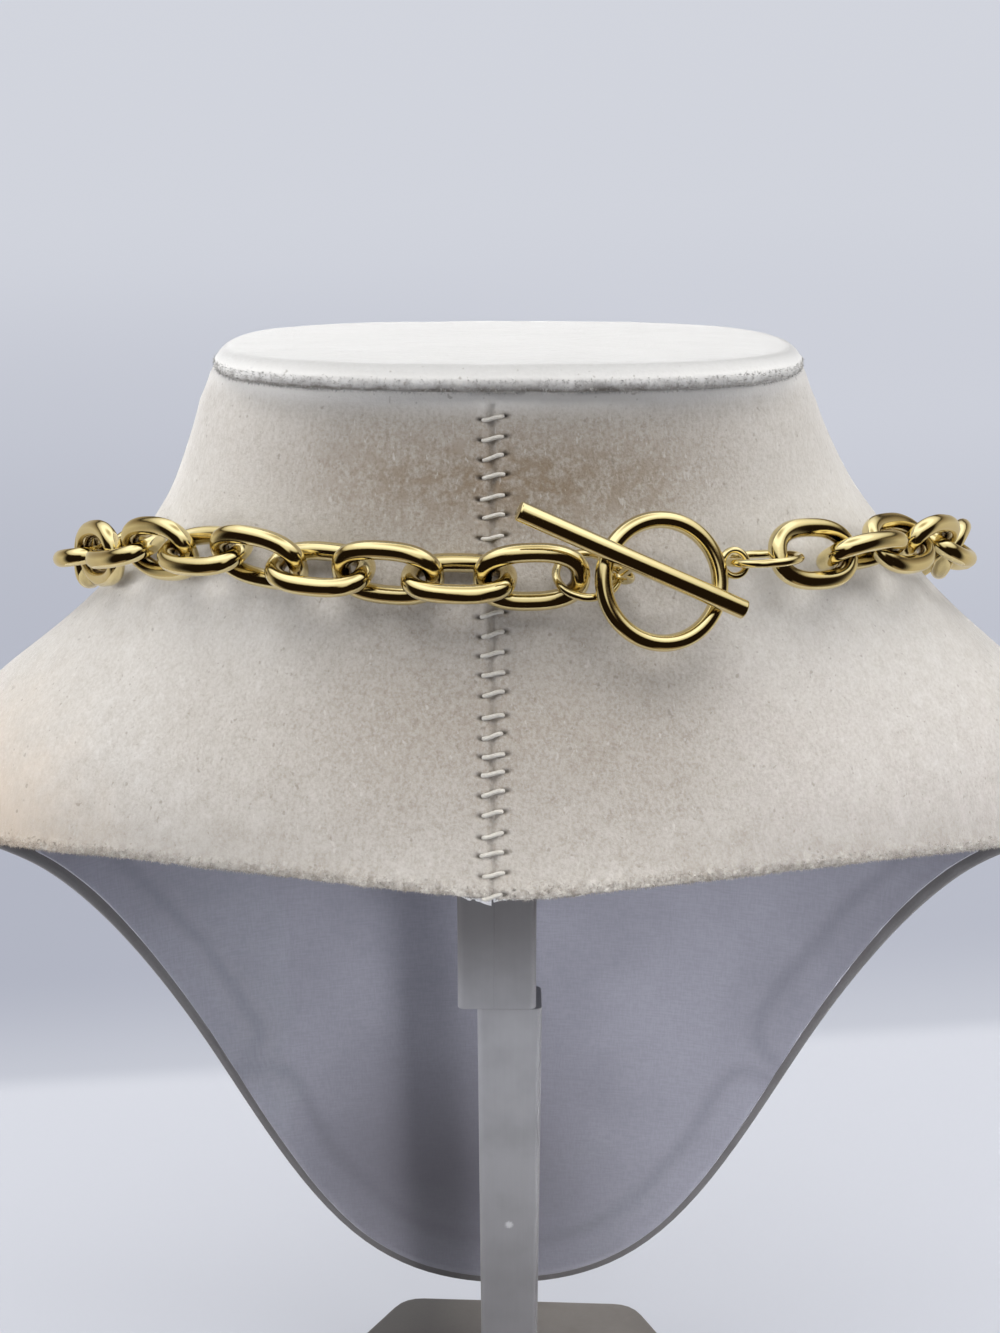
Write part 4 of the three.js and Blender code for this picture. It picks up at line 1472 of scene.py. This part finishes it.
class NECKLACE_OT_lining(bpy.types.Operator):
    """Build the lining behind the chest panel"""

    bl_idname = "necklace.lining"
    bl_label = "Panel lining"

    def execute(self, context):
        settings = context.scene.necklace_form
        piece, outline = lining_panel()
        places = points(piece)
        across, height = places[:, 0], places[:, 2]
        outward = normals(piece)
        from_edge = distances(places, dense_line(outline))
        inside = np.clip(outward[:, 1], 0, 1)
        fold = from_edge - settings.lining_fold - 1.6 * MM * hills(places, 30 * MM, 4.0)
        step = 0.22 * MM / (1 + np.exp(np.clip(fold / (0.9 * MM), -30, 30)))
        dents = 0.28 * MM * hills(places, 18 * MM, 6.0, 2)
        push = (step + np.minimum(dents, 0.10 * MM)) * inside
        for x, z, lean in LINING_CREASES:
            aside = (across - x * MM) + lean * (height - z * MM)
            along = (height - z * MM) - lean * (across - x * MM)
            push += 0.30 * MM * bell(aside, 0.9 * MM) * bell(along, 6 * MM) * inside
        paint(
            piece,
            margin=0.5 * bell(fold, 1.5 * MM) * inside,
            # Painted shade of the post, low in the middle.
            dim=bell(across - 10 * MM, 26 * MM) * bell(height - 34 * MM, 24 * MM) * inside,
            # Painted highlight along the very edge.
            lip=0.30 * bell(from_edge, 0.45 * MM),
        )
        set_points(piece, places + outward * push[:, None])
        finish_all(smoothed(piece, 50), finish("lining"))
        attach(piece, "lining", "panel_lining")
        return {"FINISHED"}


# ---- stand --------------------------------------------------------------------------------


def rounded(piece, width, segments, angle):
    """Rounds the edges that turn by more than an angle."""
    limit = {"limit_method": "ANGLE", "angle_limit": math.radians(angle)}
    return modified(piece, "BEVEL", width=width, segments=segments, **limit)


def moulded(name, node, edge, segments):
    """A CAD solid with its flat faces made whole and its edges rounded."""
    piece = cad_copy(name, node)
    whole(piece, bpy.ops.mesh.dissolve_limited, angle_limit=math.radians(2))
    return rounded(piece, edge, segments, 40)


def ribbed_socket(settings):
    """The square socket with a slim moulding line down its back."""
    piece = cad_copy("stand_socket", "post_socket")
    back = max(v.co.y for v in piece.data.vertices)
    line, half = 2.25 * MM, 0.30 * MM
    for x in (line - half, line, line + half):
        whole(piece, bpy.ops.mesh.bisect, plane_co=(x, 0, 0), plane_no=(1, 0, 0))
    for v in piece.data.vertices:
        if abs(v.co.x - line) < 0.05 * MM and v.co.y > back - 0.05 * MM:
            v.co.y += 0.16 * MM
    return rounded(piece, settings.edge, 3, 60)


class NECKLACE_OT_stand(bpy.types.Operator):
    """Build the post, the socket under the cap and the foot"""

    bl_idname = "necklace.stand"
    bl_label = "Stand"

    def execute(self, context):
        settings = context.scene.necklace_stand
        socket = ribbed_socket(settings)
        post = moulded("stand_post", "post", settings.edge, 3)
        foot = moulded("stand_foot_plate", "base_plate", settings.foot_edge, 5)
        for piece, node, kind, slot in (
            (socket, "post_socket", "plastic", "stand_plastic"),
            (post, "post", "plastic", "stand_plastic"),
            (foot, "base_plate", "foot", "foot_plastic"),
        ):
            finish_all(smoothed(piece, 35), finish(kind))
            attach(piece, slot, node)
        return {"FINISHED"}


# ---- stage --------------------------------------------------------------------------------


def area_light(name, place, target, size, power, tone=(1.0, 1.0, 1.0), spread=180):
    light = bpy.data.lights.new(name, "AREA")
    light.shape = "RECTANGLE"
    light.size, light.size_y = size
    light.energy = power
    light.color = tone
    light.spread = math.radians(spread)
    lamp = bpy.data.objects.new(name, light)
    lamp.location = place
    aim = Vector(target) - Vector(place)
    lamp.rotation_euler = aim.to_track_quat("-Z", "Y").to_euler()
    lamp.visible_glossy = False
    bpy.context.scene.collection.objects.link(lamp)


def room(settings):
    """Pale light all round; polished metal also sees a dark band at the height of the horizon."""
    world = bpy.data.worlds.new("room")
    bpy.context.scene.world = world
    world.use_nodes = True
    sky = Nodes(world.node_tree)
    background = sky.tree.nodes["Background"]
    direction = sky.node("ShaderNodeTexCoord", output=0)
    sideways, ahead, rise = (sky.axis(direction, index) for index in range(3))
    lowered = 0.06 + 0.115 * sideways.math("ABSOLUTE", sideways).step(0.06, 0.40)
    angle = 0.5 + rise.math("ARCSINE", rise) / math.pi - lowered * (1 - rise.step(0.3, 0.9))
    upper = [
        (0.60, (0.54, 0.53, 0.49)),
        (0.70, (0.66, 0.65, 0.61)),
        (0.76, (0.84, 0.85, 0.87)),
        (0.86, (0.86, 0.86, 0.87)),
        (0.93, (0.48, 0.45, 0.38)),
        (1.0, (0.30, 0.26, 0.20)),
    ]
    clasp_side = [
        (0.0, (0.20, 0.16, 0.12)),
        (0.07, settings.dark),
        (0.44, settings.dark),
        (0.475, (0.15, 0.12, 0.08)),
        (0.515, (0.44, 0.42, 0.36)),
    ]
    padlock_side = [
        (0.0, (0.30, 0.26, 0.20)),
        (0.30, (0.36, 0.33, 0.27)),
        (0.42, (0.16, 0.13, 0.09)),
        (0.47, settings.dark),
        (0.52, (0.30, 0.27, 0.21)),
    ]
    shades = [
        sky.node("ShaderNodeValToRGB", {"stops": lower + upper}, {0: angle})
        for lower in (padlock_side, clasp_side)
    ]
    grey = sky.mix(ahead.step(-0.35, 0.15), *shades)
    glossy = sky.node("ShaderNodeLightPath", output=3)
    camera = sky.node("ShaderNodeLightPath", output=0)
    seen = sky.mix(glossy, settings.room, grey)
    seen = sky.mix(camera, seen, (0.60, 0.62, 0.69))
    sky.feed(background.inputs["Color"], seen)
    sky.feed(background.inputs["Strength"], 0.13 + 1.5 * glossy + 0.87 * camera)


def floor_finish(settings):
    """Floor that glows with painted light: greyer just behind the stand, with painted shade on
    one side, and paler again far away.
    """
    paper = Finish("glowing_floor", roughness=0.9, specular_ior_level=0.1, emission_strength=1.0)
    place = paper.place()
    aside, apart = paper.axis(place, 0), paper.axis(place, 1)
    behind = 0.132 * aside - apart - 0.161
    near = 1 - behind.step(-0.005, 0.008)
    centre = 1 - paper.from_point(place, (0, 0, 0)).step(0.36, 0.85)
    base = paper.mix(near * centre, (0.02, 0.02, 0.022), settings.floor)
    glow = paper.mix(behind.step(0.0, 0.9), (0.452, 0.472, 0.547), (0.587, 0.607, 0.676))
    glow = paper.mix(behind.step(0.9, 2.2), glow, (0.612, 0.633, 0.697))
    # Painted shade on one side of the glow.
    shaded = 0.42 * (1 - behind.step(0.3, 1.7)) + 0.10 * (1 - behind.step(0.1, 0.4))
    glow = paper.mix(shaded * aside.step(-0.16, 0.16), glow, (0.37, 0.39, 0.47))
    glow = paper.mix(0.8 * (1 - behind.step(-0.02, 0.07)), glow, (0.60, 0.62, 0.68))
    glow = paper.mix(near * centre, glow, (0.437, 0.447, 0.49))
    return paper.set(Base_Color=base, Emission_Color=glow)


class NECKLACE_OT_stage(bpy.types.Operator):
    """Set the camera, the floor and the light"""

    bl_idname = "necklace.stage"
    bl_label = "Stage"

    def execute(self, context):
        settings = context.scene.necklace_stage
        lens = bpy.data.cameras.new("camera")
        lens.lens = settings.lens
        lens.sensor_width = 36
        lens.clip_start = 0.01
        lens.clip_end = 60
        camera = bpy.data.objects.new("camera", lens)
        camera.location = (0.00125, 0.346, 0.2557)
        camera.rotation_euler = (math.radians(73), 0, math.radians(180))
        context.scene.collection.objects.link(camera)
        context.scene.camera = camera
        context.scene.view_settings.view_transform = "Standard"

        floor = added("floor", bpy.ops.mesh.primitive_plane_add, size=1)
        floor.scale = (80, 80, 1)
        floor.location = (0, 0, -0.0002)
        settled(floor)
        finish_all(floor, floor_finish(settings))
        floor.visible_glossy = False

        cool = (0.97, 0.98, 1.0)
        area_light("overhead", (0.0, 0.30, 0.92), (0, 0.02, 0.15), (0.85, 0.75), 8.5)
        area_light("left", (0.95, -0.04, 0.22), (0, 0, 0.14), (0.5, 0.4), 7.4, cool)
        area_light("right", (-0.92, 0.0, 0.42), (0, 0, 0.12), (0.5, 0.5), 5.2, cool)
        for name, start, aside, power in (
            ("low middle", 0.0, 0.03, 0.025),
            ("low right", -0.30, -0.078, 0.071),
        ):
            place, target = (start, 0.70, 0.13), (aside, -0.04, 0.055)
            area_light(name, place, target, (0.24, 0.10), power, spread=16)
        area_light("front", (0.15, -0.85, 0.30), (0, 0, 0.13), (0.6, 0.2), 0.9, spread=80)
        room(settings)
        return {"FINISHED"}


# ---- add-on -------------------------------------------------------------------------------


class NECKLACE_PT_panel(bpy.types.Panel):
    """Lists the steps that build the necklace and its bust"""

    bl_idname = "NECKLACE_PT_panel"
    bl_label = "Padlock necklace"
    bl_space_type = "VIEW_3D"
    bl_region_type = "UI"
    bl_category = "Necklace"

    def draw(self, context):
        for step in STEPS:
            self.layout.operator(step.bl_idname)


SETTINGS = {
    "necklace_chain": ChainSettings,
    "necklace_padlock": PadlockSettings,
    "necklace_form": FormSettings,
    "necklace_stand": StandSettings,
    "necklace_stage": StageSettings,
}
STEPS = (
    NECKLACE_OT_stage,
    NECKLACE_OT_chain,
    NECKLACE_OT_clasp,
    NECKLACE_OT_padlock,
    NECKLACE_OT_velvet_form,
    NECKLACE_OT_velvet_cap,
    NECKLACE_OT_stitches,
    NECKLACE_OT_hem_corners,
    NECKLACE_OT_lining,
    NECKLACE_OT_stand,
)


def register():
    for kind in (*SETTINGS.values(), *STEPS, NECKLACE_PT_panel):
        bpy.utils.register_class(kind)
    for name, kind in SETTINGS.items():
        setattr(bpy.types.Scene, name, bpy.props.PointerProperty(type=kind))


def unregister():
    for name in SETTINGS:
        delattr(bpy.types.Scene, name)
    for kind in reversed((*SETTINGS.values(), *STEPS, NECKLACE_PT_panel)):
        bpy.utils.unregister_class(kind)


def main():
    register()
    for step in STEPS:
        family, name = step.bl_idname.split(".")
        getattr(getattr(bpy.ops, family), name)()


if __name__ == "__main__":
    main()
